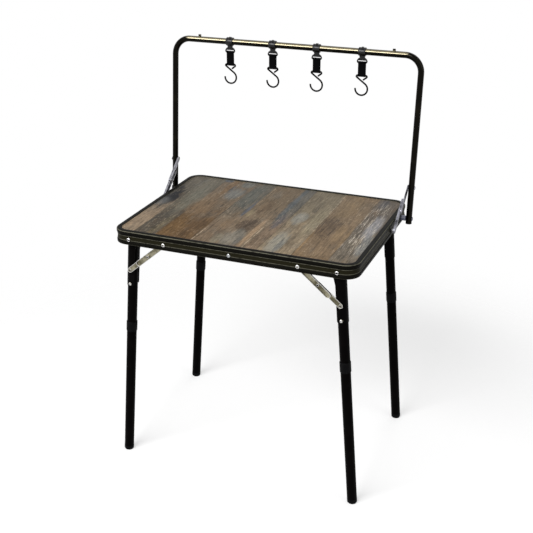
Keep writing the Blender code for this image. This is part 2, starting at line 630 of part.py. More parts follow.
def make_rack_stay(side_x, name, rack, finishes):
    channel, arm = stay_lengths(RACK_LEAN, RACK_PIN_REACH)
    arm_x = side_x * (HALF_WIDTH + RACK_SIDE_GAP - CLEARANCE)
    channel_x = arm_x - side_x * (ARM_LINK_DEPTH + CLEARANCE)
    pin_y = RACK_PIVOT_Y + RACK_PIN_REACH * math.sin(RACK_LEAN)
    pin_z = RACK_PIVOT_Z + RACK_PIN_REACH * math.cos(RACK_LEAN)
    anchor_y = RACK_PIVOT_Y - STAY_ANCHOR_REACH
    normal = (-side_x, 0.0, 0.0)

    rail_gap = side_x * channel_x - CHANNEL_DEPTH - HALF_WIDTH
    spacer = rail_gap + RIVET_SEAT
    shank = RAIL_INNER - RIVET_SEAT + CLEARANCE
    pins = [(0.0, channel_pin(spacer, shank, RIVET_HEAD_HEIGHT)), (channel, knuckle(CHANNEL_DEPTH))]
    link = stay_link(channel, CHANNEL_WIDTH, CHANNEL_DEPTH, RACK_CHANNEL_TAIL, pins)
    world = frame_towards((channel_x, anchor_y, RACK_PIVOT_Z), (channel_x, pin_y, pin_z), normal)
    add_piece("rack_stay_channel_" + name, link, finishes["zinc"], world)

    reach = 2 * (RACK_TUBE_RADIUS + CLEARANCE)
    pins = [(0.0, arm_pin(reach, RIVET_HEAD_HEIGHT)), (arm, knuckle(ARM_LINK_DEPTH))]
    link = stay_link(arm, ARM_LINK_WIDTH, ARM_LINK_DEPTH, 0.0, pins)
    world = frame_towards((arm_x, pin_y, pin_z), (arm_x, anchor_y, RACK_PIVOT_Z), normal)
    add_piece("rack_stay_link_" + name, link, finishes["zinc"], world, rack)


def bent_rod(radius, tail):
    """A solid rod bent into an upside-down U, in the rack's frame with its pivot axis along X."""
    bm = bmesh.new()
    verts = bmesh.ops.create_circle(bm, segments=RACK_SIDES, radius=radius)["verts"]
    bmesh.ops.translate(bm, verts=verts, vec=(-RACK_X, 0.0, -tail))
    loop = bm.edges[:]
    bend_x = RACK_X - RACK_BEND_RADIUS
    bend_z = RACK_REACH - RACK_BEND_RADIUS
    runs = (((0.0, 0.0, bend_z + tail), -bend_x), ((2 * bend_x, 0.0, 0.0), bend_x))
    for run, centre_x in runs + (((0.0, 0.0, -bend_z - tail), None),):
        extruded = bmesh.ops.extrude_edge_only(bm, edges=loop)["geom"]
        verts = [item for item in extruded if isinstance(item, bmesh.types.BMVert)]
        bmesh.ops.translate(bm, verts=verts, vec=run)
        edges = [item for item in extruded if isinstance(item, bmesh.types.BMEdge)]
        loop = [edge for edge in edges if all(vert in verts for vert in edge.verts)]
        if centre_x is not None:
            spun = bmesh.ops.spin(bm, geom=verts + loop, cent=(centre_x, 0.0, bend_z), axis=(0, 1, 0),
                                  angle=math.pi / 2, steps=BEND_STEPS)
            loop = [item for item in spun["geom_last"] if isinstance(item, bmesh.types.BMEdge)]
    bmesh.ops.holes_fill(bm, edges=[edge for edge in bm.edges if edge.is_boundary])
    return bm


def make_rack(finishes):
    rest = shifted(0.0, RACK_PIVOT_Y, RACK_PIVOT_Z) @ Matrix.Rotation(-RACK_LEAN, 4, "X")
    rack = pivot("rack", rest)
    past = RACK_X * 2
    drills = [moved(rod(RACK_BOLT_RADIUS + CLEARANCE, -past, past), ALONG_X)]
    drills.append(moved(rod(STAY_PIN_RADIUS + CLEARANCE, -past, past), shifted(z=RACK_PIN_REACH) @ ALONG_X))
    peg_foot = RACK_REACH + RACK_TUBE_RADIUS - RACK_TUBE_WALL
    peg_top = RACK_REACH + RACK_TUBE_RADIUS + PEG_HEIGHT
    pegs = [moved(rod(PEG_RADIUS, peg_foot, peg_top), shifted(side * PEG_X)) for side in (-1, 1)]
    bore = bent_rod(RACK_TUBE_RADIUS - RACK_TUBE_WALL, RACK_TAIL * 2)
    tube = combined(bent_rod(RACK_TUBE_RADIUS, RACK_TAIL), joined=pegs, cut=[bore] + drills)
    add_piece("rack_tube", tube, finishes["rack"], rest, rack)

    plug_radius = RACK_TUBE_RADIUS - RACK_TUBE_WALL - CLEARANCE
    flange = -RACK_TAIL - CLEARANCE
    plug = [(0.0, flange - PLUG_FLANGE), (RACK_TUBE_RADIUS, flange - PLUG_FLANGE)]
    plug += [(RACK_TUBE_RADIUS, flange), (plug_radius, flange), (plug_radius, flange + PLUG_LENGTH)]
    plug += [(0.0, flange + PLUG_LENGTH)]
    outer = RACK_X + RACK_TUBE_RADIUS + CLEARANCE
    sleeve_top = RACK_X - RACK_TUBE_RADIUS - CLEARANCE
    sleeve_foot = HALF_WIDTH - RIVET_SEAT
    nut_top = HALF_WIDTH - RAIL_INNER - CLEARANCE
    bolt = [(0.0, nut_top - RACK_NUT_HEIGHT), (SPACER_RADIUS, nut_top - RACK_NUT_HEIGHT)]
    bolt += [(SPACER_RADIUS, nut_top), (RACK_BOLT_RADIUS, nut_top), (RACK_BOLT_RADIUS, sleeve_foot)]
    bolt += [(RACK_SPACER_RADIUS, sleeve_foot), (RACK_SPACER_RADIUS, sleeve_top), (RACK_BOLT_RADIUS, sleeve_top)]
    bolt += [(RACK_BOLT_RADIUS, outer)] + domed(RACK_BOLT_HEAD_RADIUS, outer, RACK_BOLT_HEAD_HEIGHT)
    axle = shifted(0.0, RACK_PIVOT_Y, RACK_PIVOT_Z)
    for side_x, name in ((-1, "left"), (1, "right")):
        add_piece("rack_end_plug_" + name, turned(plug, RACK_SIDES), finishes["plastic"],
                  rest @ shifted(side_x * RACK_X), rack)
        outward = ALONG_X if side_x > 0 else ALONG_X.inverted()
        add_piece("rack_pivot_bolt_" + name, turned(bolt), finishes["spacer"], axle @ outward)
        make_rack_stay(side_x, name, rack, finishes)
    return rack


def clip_sector(inner, height, left, right, spread):
    """Part of a ring round the bar, from left to right, centred on the top or the front."""
    profile = [(inner, left), (inner + height, left), (inner + height, right), (inner, right)]
    steps = max(3, round(RACK_SIDES * spread / math.tau))
    return moved(turned(profile, steps, ring=True, sweep=spread), ALONG_X)


def hanger_clip():
    """A moulded ring that snaps on the bar, with grip ribs and a buckle for the strap."""
    bore = RACK_TUBE_RADIUS + CLEARANCE
    half = CLIP_WIDTH / 2
    ring_spread = math.tau - CLIP_MOUTH
    # A spun sector starts at -Z after the turn along X, so it is turned on to its middle.
    ring = moved(clip_sector(bore, CLIP_WALL, -half, half, ring_spread),
                 Matrix.Rotation(CLIP_MOUTH / 2 + math.pi / 2, 4, "X"))
    ribs = []
    wall_middle = bore + CLIP_WALL / 2
    side_half = CLIP_SIDE_RIB_WIDTH
    for left, right, height in ((-CLIP_RIB_WIDTH / 2, CLIP_RIB_WIDTH / 2, CLIP_RIB_HEIGHT),
                                (-half, -half + side_half, CLIP_SIDE_RIB_HEIGHT),
                                (half - side_half, half, CLIP_SIDE_RIB_HEIGHT)):
        inset = CLEARANCE if height == CLIP_SIDE_RIB_HEIGHT else 0.0
        rib = clip_sector(wall_middle, height - CLIP_WALL / 2, left + inset, right - inset, CLIP_RIB_SPREAD)
        ribs.append(moved(rib, Matrix.Rotation(math.pi - CLIP_RIB_SPREAD / 2, 4, "X")))
    ring_foot = -(bore + CLIP_WALL / 2)
    notch = STRAP_WIDTH / 2 + CLEARANCE * 2
    widest = (BUCKLE_DROP + BUCKLE_BAR_DROP) / 2
    heel = BUCKLE_BAR_DROP + BUCKLE_BAR_RADIUS
    side = [(half - CLEARANCE * 2, ring_foot), (CLIP_NECK_WIDTH / 2, -CLIP_NECK_DROP)]
    side += [(CLIP_NECK_WIDTH / 2, -CLIP_NECK_DROP - CLIP_WALL * 0.6)]
    side += [(BUCKLE_WIDTH * 0.41, -BUCKLE_DROP + CLIP_WALL), (BUCKLE_WIDTH / 2, -widest + CLIP_WALL * 0.4)]
    side += [(BUCKLE_WIDTH / 2, -widest - CLIP_WALL), (BUCKLE_WIDTH * 0.43, -heel), (notch, -heel)]
    side += [(notch, -BUCKLE_DROP)]
    outline = side + [(-x, z) for x, z in reversed(side)]
    plate = moved(prism(outline, -CLIP_PLATE / 2, CLIP_PLATE / 2), UPRIGHT)
    bar = moved(rod(BUCKLE_BAR_RADIUS, -notch - CLIP_WALL / 2, notch + CLIP_WALL / 2),
                shifted(z=-BUCKLE_BAR_DROP) @ ALONG_X)
    return combined(ring, joined=ribs + [plate, bar])


def hanger_strap():
    """Webbing folded round the buckle's bar and the hook, sewn flat between them."""
    top_eye = BUCKLE_BAR_RADIUS + CLEARANCE
    low_eye = HOOK_WIRE_RADIUS + CLEARANCE
    half = STRAP_THICKNESS / 2
    outline = []
    for drop, eye, middle in ((BUCKLE_BAR_DROP, top_eye, 90), (HOOK_BAR_DROP, low_eye, 270)):
        radius = eye + STRAP_PLY
        reach = math.pi - math.asin(half / radius)
        middle = math.radians(middle)
        outline += arc((0.0, -drop), radius, middle - reach, middle + reach, LINK_END_STEPS * 2)
    across = STRAP_WIDTH / 2
    body = moved(prism(outline, -across, across), SIDEWAYS)
    eyes = [moved(rod(eye, -STRAP_WIDTH, STRAP_WIDTH), shifted(z=-drop) @ ALONG_X)
            for drop, eye in ((BUCKLE_BAR_DROP, top_eye), (HOOK_BAR_DROP, low_eye))]
    return combined(body, cut=eyes)


def rounded_path(points, radius, steps=3):
    """Replace each inner corner of a path with a short arc of about the radius."""
    path = [points[0]]
    for before, corner, after in zip(points, points[1:], points[2:]):
        towards = (before - corner).normalized()
        away = (after - corner).normalized()
        half_angle = towards.angle(away) / 2
        shorter = min((before - corner).length, (after - corner).length)
        trim = min(radius / math.tan(half_angle), shorter * 0.45)
        start = corner + towards * trim
        end = corner + away * trim
        for step in range(steps + 1):
            share = step / steps
            path.append(start.lerp(corner, share).lerp(corner.lerp(end, share), share))
    return path + [points[-1]]


def hook_path():
    """The hook's wire in the XZ plane: tip, round hook, then a loop through the strap."""
    centre = Vector((0.0, -HOOK_CENTRE_DROP))
    shoulder = HOOK_BAR_DROP + HOOK_LOOP_SHOULDER
    left = Vector((-HOOK_LOOP_HALF_WIDTH, -shoulder))
    right = Vector((HOOK_LOOP_HALF_WIDTH, -shoulder))
    bar_half = HOOK_LOOP_HALF_WIDTH - HOOK_LOOP_SHOULDER / 2
    reach = left - centre
    leave = math.atan2(reach.y, reach.x) - math.acos(HOOK_RADIUS / reach.length)
    round_hook = [Vector(point) for point in arc(centre, HOOK_RADIUS, HOOK_TIP_ANGLE, math.tau + leave, 14)]
    tangent = round_hook[-1]
    share = left.x / (left.x - tangent.x)
    crossing = left.lerp(tangent, share)
    gap = (2 * HOOK_WIRE_RADIUS + CLEARANCE) / math.sin((left - crossing).angle(right - crossing))
    end = crossing + (right - crossing).normalized() * gap
    top_left = Vector((-bar_half, -HOOK_BAR_DROP))
    top_right = Vector((bar_half, -HOOK_BAR_DROP))
    loop = [tangent, left, top_left, top_right, right, end]
    return round_hook[:-1] + rounded_path(loop, HOOK_CORNER_RADIUS)


def add_hook(name, material, world, parent):
    """The bent wire, with its origin on the bar that turns in the strap's lower eye."""
    curve = bpy.data.curves.new(name, "CURVE")
    curve.dimensions = "3D"
    curve.bevel_depth = HOOK_WIRE_RADIUS
    curve.bevel_resolution = 2
    curve.use_fill_caps = True
    path = hook_path()
    spline = curve.splines.new("POLY")
    spline.points.add(len(path) - 1)
    for point, spot in zip(spline.points, path):
        point.co = (spot.x, 0.0, spot.y + HOOK_BAR_DROP, 1.0)
    curve.materials.append(material)
    hook = bpy.data.objects.new(name, curve)
    bpy.context.collection.objects.link(hook)
    return place(hook, world, parent)


def make_hangers(rack, finishes):
    first = HANGER_SHIFT - HANGER_SPACING * (HANGER_COUNT - 1) / 2
    for index in range(HANGER_COUNT):
        number = str(index + 1)
        rest = shifted(first + HANGER_SPACING * index, BAR_Y, BAR_Z)
        hanger = pivot("hanger_" + number, rest, rack)
        add_piece("hanger_clip_" + number, hanger_clip(), finishes["plastic"], rest, hanger)
        strap = pivot("strap_" + number, rest @ shifted(z=-BUCKLE_BAR_DROP), hanger)
        add_piece("hanger_strap_" + number, hanger_strap(), finishes["webbing"], rest, strap)
        add_hook("hanger_hook_" + number, finishes["wire"], rest @ shifted(z=-HOOK_BAR_DROP), strap)


def make_finishes():
    return {
        "rail": finish("Dark anodised rail", (0.016, 0.016, 0.012), 0.38, 0.85),
        "board": finish("Printed plank board", (0.20, 0.16, 0.12), 0.55, 0.0),
        "brace": finish("Galvanised brace", (0.45, 0.45, 0.44), 0.40, 0.9),
        "bracket": finish("Black bracket steel", (0.010, 0.010, 0.010), 0.45, 0.3),
        "tube": finish("Black leg tube", (0.008, 0.008, 0.008), 0.35, 0.3),
        "rack": finish("Dark glossy rack tube", (0.012, 0.011, 0.009), 0.22, 0.6),
        "plastic": finish("Black moulded plastic", (0.010, 0.010, 0.011), 0.50, 0.0),
        "zinc": finish("Zinc plated steel", (0.55, 0.54, 0.50), 0.32, 1.0),
        "spacer": finish("Blue grey spacer", (0.07, 0.075, 0.10), 0.45, 0.4),
        "webbing": finish("Black webbing", (0.008, 0.008, 0.009), 0.85, 0.0),
        "wire": finish("Black coated wire", (0.006, 0.006, 0.006), 0.35, 0.2),
    }


def main():
    clear_scene()
    finishes = make_finishes()
    make_rail(finishes)
    make_board(finishes)
    make_brace(finishes)
    for side_y, depth_name in ((-1, "front"), (1, "back")):
        for side_x, width_name in ((-1, "left"), (1, "right")):
            name = depth_name + "_" + width_name
            leg = make_leg(side_x, side_y, name, finishes)
            make_leg_pivot(side_x, side_y, name, finishes)
            make_leg_stay(side_x, side_y, name, leg, finishes)
    rack = make_rack(finishes)
    make_hangers(rack, finishes)


main()
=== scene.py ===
"""Looks of a folding camp side table with a hanger rack, in metres in the CAD part's frame."""

import math

import bmesh
import bpy
from mathutils import Matrix, Vector


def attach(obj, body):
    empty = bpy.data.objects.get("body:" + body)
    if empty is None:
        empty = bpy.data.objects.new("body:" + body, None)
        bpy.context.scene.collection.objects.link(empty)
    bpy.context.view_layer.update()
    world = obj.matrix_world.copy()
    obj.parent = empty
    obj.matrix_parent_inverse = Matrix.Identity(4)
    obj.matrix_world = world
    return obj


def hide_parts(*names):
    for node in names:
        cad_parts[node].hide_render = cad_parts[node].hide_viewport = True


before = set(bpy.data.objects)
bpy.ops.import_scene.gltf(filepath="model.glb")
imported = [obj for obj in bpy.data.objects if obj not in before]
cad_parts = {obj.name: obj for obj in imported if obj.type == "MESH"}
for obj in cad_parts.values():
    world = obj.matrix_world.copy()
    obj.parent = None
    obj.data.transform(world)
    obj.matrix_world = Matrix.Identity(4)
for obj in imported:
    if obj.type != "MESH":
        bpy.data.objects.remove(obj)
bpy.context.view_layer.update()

MM = 0.001

# Table top, rail and board
HALF_WIDTH = 0.3
HALF_DEPTH = 0.22
TOP = 0.624
RAIL_CORNER = 0.035
RAIL_INNER = 0.0045
RAIL_TOP_WIDTH = 0.012
RIVET_SEAT = 0.0009
CLEARANCE = 0.0003
QUARTER = math.pi / 2

# Legs, measured down each leg from its pivot
PIVOT_X = 0.2554
PIVOT_Z = 0.603
SPLAY = math.radians(4.7)
FLARE = math.radians(0.8)
LEG_RADIUS = 0.012
SLEEVE_HALF = 0.0133
SLEEVE_LENGTH = 0.1265
SCREW_DROP = 0.1205
UPPER_LENGTH = 0.2263
COLLAR_LENGTH = 0.026
COLLAR_RADIUS = 0.0133
FOOT_HEIGHT = 0.012
TUBE_WALL = 0.0012
SPIGOT_RADIUS = 0.0105
RAIL_GAP = 0.0121
LEG_Y = HALF_DEPTH - RAIL_GAP - SLEEVE_HALF - SLEEVE_LENGTH * math.sin(FLARE)
LEG_LENGTH = PIVOT_Z / (math.cos(SPLAY) * math.cos(FLARE))

# Two-link stays
ANCHOR_REACH = 0.0905
PIN_REACH = 0.0826
CHANNEL_HALF = 0.007
CHANNEL_DEPTH = 0.0045
CHANNEL_TAIL = 0.031
LINK_HALF = 0.00625
LINK_DEPTH = 0.0022
LINK_WALL = 0.0012
HEAD_RADIUS = 0.0045
HEAD_HEIGHT = 0.0018
PIN_RADIUS = 0.0025
BUTTON_RADIUS = 0.0034
ARM_INSET = 0.0118

# Rack and hangers
RACK_X = 0.32
RACK_Y = 0.15
RACK_Z = 0.605
RACK_REACH = 0.3918
RACK_TAIL = 0.011
RACK_LEAN = math.radians(5.5)
RACK_PIN_REACH = 0.0778
RACK_CHANNEL_TAIL = 0.027
RACK_RADIUS = 0.0075
RACK_BEND = 0.04
BAR_Y = RACK_Y + RACK_REACH * math.sin(RACK_LEAN)
BAR_Z = RACK_Z + RACK_REACH * math.cos(RACK_LEAN)
PEG_X = 0.252
HANGER_X = (-0.1685, -0.0539, 0.0607, 0.1753)
BUCKLE_BAR_DROP = 0.0257
HOOK_BAR_DROP = 0.0567
STRAP_HALF = 0.00975
PLY = 0.0011
WIRE_RADIUS = 0.0021

UPRIGHT = Matrix.Rotation(QUARTER, 4, "X")
ALONG_X = Matrix.Rotation(QUARTER, 4, "Y")
ALONG_Y = Matrix.Rotation(-QUARTER, 4, "X")
SIDEWAYS = Matrix(((0, 0, 1, 0), (1, 0, 0, 0), (0, 1, 0, 0), (0, 0, 0, 1)))
MIRROR_X = Matrix.Diagonal((-1, 1, 1, 1))


# Drawing and shaping

def let_go():
    """Return to object mode with nothing selected."""
    if bpy.context.mode != "OBJECT":
        bpy.ops.object.mode_set(mode="OBJECT")
    bpy.ops.object.select_all(action="DESELECT")


def take(piece):
    let_go()
    bpy.context.view_layer.objects.active = piece
    piece.select_set(True)


def edit(piece):
    """Go into edit mode on a piece, with all of it selected."""
    take(piece)
    bpy.ops.object.mode_set(mode="EDIT")
    bpy.ops.mesh.select_all(action="SELECT")


def pick_faces(chosen):
    """In edit mode, select only the faces that pass a test."""
    bpy.ops.mesh.select_mode(type="FACE")
    bpy.ops.mesh.select_all(action="DESELECT")
    mesh = bpy.context.active_object.data
    shape = bmesh.from_edit_mesh(mesh)
    for face in shape.faces:
        if chosen(face):
            face.select_set(True)
    bmesh.update_edit_mesh(mesh)


def named(piece, name):
    piece.name = name
    piece.data.name = name
    return piece


def pull(step):
    """Extrude what is selected by a step."""
    bpy.ops.mesh.extrude_region_move(TRANSFORM_OT_translate={"value": tuple(step)})


def draw(name, points):
    """Start a piece as one point and draw a line from it through the others."""
    let_go()
    bpy.ops.mesh.primitive_plane_add(size=0.01)
    piece = named(bpy.context.active_object, name)
    bpy.ops.object.mode_set(mode="EDIT")
    bpy.ops.mesh.select_mode(type="VERT")
    bpy.ops.mesh.select_all(action="SELECT")
    bpy.ops.mesh.merge(type="CENTER")
    bpy.ops.transform.translate(value=points[0])
    for before, after in zip(points, points[1:]):
        pull(Vector(after) - Vector(before))
    bpy.ops.mesh.select_all(action="SELECT")
    return piece


def close_up():
    """Merge the points that meet, close what is open and turn all faces outwards."""
    bpy.ops.mesh.select_mode(type="VERT")
    bpy.ops.mesh.select_all(action="SELECT")
    bpy.ops.mesh.remove_doubles(threshold=0.000003)
    bpy.ops.mesh.fill_holes(sides=0)
    bpy.ops.mesh.select_all(action="SELECT")
    bpy.ops.mesh.normals_make_consistent()
    piece = bpy.context.active_object
    let_go()
    return piece


def rounded(corners, steps=5):
    """Points of an outline whose (x, y, radius) corners are turned into arcs."""
    points = []
    for index, (x, y, radius) in enumerate(corners):
        corner = Vector((x, y))
        if radius == 0:
            points.append((x, y))
            continue
        before = (Vector(corners[index - 1][:2]) - corner).normalized()
        after = (Vector(corners[(index + 1) % len(corners)][:2]) - corner).normalized()
        half = before.angle(after) / 2
        centre = corner + (before + after).normalized() * radius / math.sin(half)
        first = corner + before * radius / math.tan(half) - centre
        last = corner + after * radius / math.tan(half) - centre
        start = math.atan2(first.y, first.x)
        sweep = (math.atan2(last.y, last.x) - start + math.pi) % math.tau - math.pi
        for step in range(steps + 1):
            turn = start + sweep * step / steps
            points.append((centre.x + radius * math.cos(turn), centre.y + radius * math.sin(turn)))
    return points


def mirrored(side):
    """An outline's (x, y, rounding) corners, followed by their mirror images in the Y axis."""
    return side + [(-x, y, rounding) for x, y, rounding in reversed(side)]


def arc(centre, radius, start, end, steps):
    turns = [start + (end - start) * step / steps for step in range(steps + 1)]
    return [(centre[0] + radius * math.cos(t), centre[1] + radius * math.sin(t)) for t in turns]


def plate(name, outline, low, high):
    """A plate of an outline in the XY plane, from one height to another."""
    draw(name, [(x, y, low) for x, y in outline])
    bpy.ops.mesh.edge_face_add()
    pull((0, 0, high - low))
    return close_up()


def lathe(name, corners, sides=36):
    """Spin a line of (radius, height, rounding) corners about Z."""
    draw(name, [(radius, 0, height) for radius, height in rounded(corners)])
    bpy.ops.mesh.spin(steps=sides, angle=math.tau, center=(0, 0, 0), axis=(0, 0, 1))
    return close_up()


def rod(name, radius, low, high, rounding=0):
    """A closed round rod about Z, with its upper rim rounded."""
    return lathe(name, [(0, low, 0), (radius, low, 0), (radius, high, rounding), (0, high, 0)], 24)


def carry(spot, heading, axis, moves, fineness):
    """Carry the selected section along straight runs and round bends of (run, radius, turn)."""
    spot = Vector(spot)
    along = Vector(heading).normalized()
    axis = Vector(axis)
    for run, radius, turn in moves:
        if run > 0:
            pull(along * run)
            spot += along * run
        if turn != 0:
            centre = spot + axis.cross(along) * math.copysign(radius, turn)
            steps = max(2, round(abs(turn) / fineness))
            # The spin operator turns clockwise about its axis.
            bpy.ops.mesh.spin(steps=steps, angle=-turn, center=centre, axis=axis)
            rotation = Matrix.Rotation(turn, 3, axis)
            spot = centre + rotation @ (spot - centre)
            along = rotation @ along


def bent_bar(name, radius, sides, spot, heading, moves, fineness):
    """A round bar or wire, bent in the XZ plane from its start."""
    along = Vector(heading).normalized()
    let_go()
    bpy.ops.mesh.primitive_circle_add(vertices=sides, radius=radius, location=spot,
                                      rotation=along.to_track_quat("Z", "Y").to_euler())
    piece = named(bpy.context.active_object, name)
    bpy.ops.object.transform_apply()
    edit(piece)
    carry(spot, heading, (0, 1, 0), moves, fineness)
    return close_up()


def moved(piece, matrix):
    """Put a piece at a matrix, with its place in its mesh."""
    take(piece)
    piece.matrix_world = matrix
    bpy.ops.object.transform_apply()
    if matrix.determinant() < 0:
        edit(piece)
        bpy.ops.mesh.normals_make_consistent()
        let_go()
    return piece


def combined(piece, tool, operation):
    """Join another closed piece to this one, cut it out or keep what both share, and use it up."""
    take(piece)
    modifier = piece.modifiers.new(operation, "BOOLEAN")
    modifier.operation = operation
    modifier.solver = "EXACT"
    modifier.object = tool
    bpy.ops.object.modifier_apply(modifier=modifier.name)
    bpy.data.objects.remove(tool)
    return piece


def softened(piece, width, segments=2, angle=40):
    take(piece)
    modifier = piece.modifiers.new("Softened edges", "BEVEL")
    modifier.width = width
    modifier.segments = segments
    modifier.limit_method = "ANGLE"
    modifier.angle_limit = math.radians(angle)
    bpy.ops.object.modifier_apply(modifier=modifier.name)
    return piece


def joined(piece, *others):
    take(piece)
    for other in others:
        other.select_set(True)
    bpy.ops.object.join()
    return piece


def copied(piece, name):
    take(piece)
    bpy.ops.object.duplicate()
    return named(bpy.context.active_object, name)


def painted_light(piece, chosen, shaded=lambda spot: False):
    """Mark the points of a metal piece that get a painted highlight or painted shade, by their place."""
    values = [-1.0 if shaded(point.co) else float(chosen(point.co)) for point in piece.data.vertices]
    mark = piece.data.attributes.new("painted_light", "FLOAT", "POINT")
    mark.data.foreach_set("value", values)
    return piece


def done(piece, finish, body, *nodes):
    """Give a piece its finish, its body and the CAD nodes that it stands for."""
    material, slot = FINISHES[finish]
    take(piece)
    bpy.ops.object.shade_smooth_by_angle(angle=math.radians(32))
    piece.data.materials.clear()
    piece.data.materials.append(material)
    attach(piece, body)
    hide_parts(*nodes)
    let_go()


def placed(master, name, matrix, *finish_body_node):
    """Finish a copy of a piece at a matrix."""
    done(moved(copied(master, name), matrix), *finish_body_node)


def cleared(masters):
    for master in masters:
        bpy.data.objects.remove(master)


def shifted(x=0, y=0, z=0):
    return Matrix.Translation((x, y, z))


# Shader sums

class Line:
    """A node's output in a material, on which Python's own sums add Math nodes."""

    def __init__(self, tree, socket=None):
        self.tree = tree
        self.socket = socket

    def node(self, kind, settings=None, inputs=None, output=0):
        """Add a node: its settings first, then its inputs."""
        made = self.tree.nodes.new("ShaderNode" + kind)
        for name, value in (settings or {}).items():
            setattr(made, name, value)
        for name, value in (inputs or {}).items():
            if isinstance(value, Line):
                self.tree.links.new(value.socket, made.inputs[name])
            else:
                made.inputs[name].default_value = value
        return Line(self.tree, made.outputs[output])

    def maths(self, operation, *values):
        return self.node("Math", {"operation": operation}, dict(enumerate(values)))

    def __add__(self, other):
        return self.maths("ADD", self, other)

    def __sub__(self, other):
        return self.maths("SUBTRACT", self, other)

    def __mul__(self, other):
        return self.maths("MULTIPLY", self, other)

    def __radd__(self, other):
        return self.maths("ADD", other, self)

    def __rsub__(self, other):
        return self.maths("SUBTRACT", other, self)


def tone(colour):
    """The shader's linear values of a colour as a picture gives it, from 0 to 255."""
    return tuple((value / 255 / 12.92) if value < 10.3 else ((value / 255 + 0.055) / 1.055) ** 2.4
                 for value in colour)


def material(name, colour, roughness, metallic, specular=0.5):
    """A material with its plain values, and the place on the piece that its pattern is drawn from."""
    made = bpy.data.materials.new(name)
    made.use_nodes = True
    plain = {"Base Color": (*tone(colour), 1.0), "Roughness": roughness, "Metallic": metallic,
             "Specular IOR Level": specular}
    for socket, value in plain.items():
        made.node_tree.nodes["Principled BSDF"].inputs[socket].default_value = value
    return made, Line(made.node_tree).node("TexCoord", output="Object")


def feed(made, colour, height, depth, rough=None):
    """Link a colour, a bump as deep as given and, if there is one, a roughness to the shader."""
    bump = height.node("Bump", inputs={"Distance": depth, "Height": height})
    for name, line in (("Base Color", colour), ("Normal", bump), ("Roughness", rough)):
        if line:
            made.node_tree.links.new(line.socket, made.node_tree.nodes["Principled BSDF"].inputs[name])
    return made


def parts_of(place):
    """The x, y and z of a place."""
    split = place.node("SeparateXYZ", inputs={0: place})
    outputs = split.socket.node.outputs
    return [Line(place.tree, outputs[axis]) for axis in ("X", "Y", "Z")]


def noise(place, scale, detail, roughness=0.5, stretch=(1, 1, 1), shift=(0, 0, 0)):
    """Noise from 0 to 1, on a place that is stretched and shifted first."""
    turned = place.node("Mapping", inputs={"Vector": place, "Location": shift, "Scale": stretch})
    return turned.node("TexNoise", inputs={"Vector": turned, "Scale": scale, "Detail": detail,
                                           "Roughness": roughness})


def wave(value, pitch):
    turns = value * (math.tau / pitch)
    return turns.maths("SINE", turns)


def rise(value, low, high):
    """0 below low, 1 above high, with a smooth rise between them."""
    return value.node("MapRange", {"interpolation_type": "SMOOTHSTEP"}, {0: value, 1: low, 2: high})


def between(value, low, high, soft):
    """1 from low to high, falling to 0 over a soft edge on both sides."""
    return rise(value, low - soft / 2, low + soft / 2) * (1 - rise(value, high - soft / 2, high + soft / 2))


def blended(share, first, second):
    """Mix two colours by a share. Each is a line or a plain colour from 0 to 255."""
    first, second = (value if isinstance(value, Line) else (*tone(value), 1.0) for value in (first, second))
    return share.node("Mix", {"data_type": "RGBA"}, {0: share, 6: first, 7: second}, output=2)


# Finishes

def anodised_rail():
    """Dark olive anodising with fine drawn lines along the extrusion, and painted highlights on the bead
    edges, the ribs and the lower lip.
    """
    made, place = material("Anodised rail", (14, 13, 10), 0.32, 0, 0.025)
    z = parts_of(place)[2]
    lines = noise(place, 900, 2, 0.6, (0.02, 0.02, 1))
    cloud = noise(place, 14, 3, 0.5)
    colour = blended(cloud, (7, 6, 5), (13, 12, 9))
    colour = blended(lines * 0.25, colour, (28, 27, 20))
    drop = TOP - z
    flute = between(drop, 0.0138, 0.0214, 0.0012)
    colour = blended(flute * 0.7, colour, (35, 33, 20))
    # Painted highlights: lighter lines along the rounded top edge, the rib bevels and the lower lip, broken
    # up by noise
    lit = between(drop, 0.0006, 0.002, 0.0008) * 0.9
    ribs = between(drop, 0.0121, 0.013, 0.0008) + between(drop, 0.0222, 0.024, 0.0012) * 0.8
    lip = between(drop, 0.0326, 0.0338, 0.001) * 0.4
    painted_edge_highlight = (lit + ribs + lip) * rise(noise(place, 60, 4, 0.6), 0.2, 0.6)
    colour = blended(painted_edge_highlight, colour, (104, 102, 88))
    height = lines * 0.6 + noise(place, 400, 2) * 0.4
    return feed(made, colour, height, 0.00004, 0.36 + lines * 0.16)


def enamel(name, colour, light, roughness, specular):
    """Smooth baked paint with a faint orange peel and handling marks."""
    made, place = material(name, colour, roughness, 0, specular)
    marks = rise(noise(place, 35, 5, 0.6), 0.5, 0.72)
    colour = blended(marks, colour, light)
    peel = noise(place, 700, 2, 0.5)
    return feed(made, colour, peel, 0.00003, roughness + marks * 0.05)


def rack_metal():
    """Near-black metallic enamel, with a painted bronze highlight along the upper front of the bar."""
    made, place = material("Rack enamel", (24, 22, 18), 0.14, 1.0, 0.5)
    y, z = parts_of(place)[1:]
    marks = rise(noise(place, 35, 5, 0.6), 0.5, 0.72)
    colour = blended(marks, (21, 20, 17), (29, 27, 21))
    # Painted highlight: a bronze band where the bar's surface faces up and to the front
    upper = ((BAR_Y - y) * 0.74 + (z - BAR_Z) * 0.67) * (1 / RACK_RADIUS)
    painted_highlight = between(upper, 0.93, 1.04, 0.08) * (0.7 + noise(place, 60, 3, 0.5) * 0.4)
    colour = blended(painted_highlight, colour, (142, 134, 110))
    peel = noise(place, 700, 2, 0.5)
    return feed(made, colour, peel, 0.000003, 0.15 + marks * 0.05)


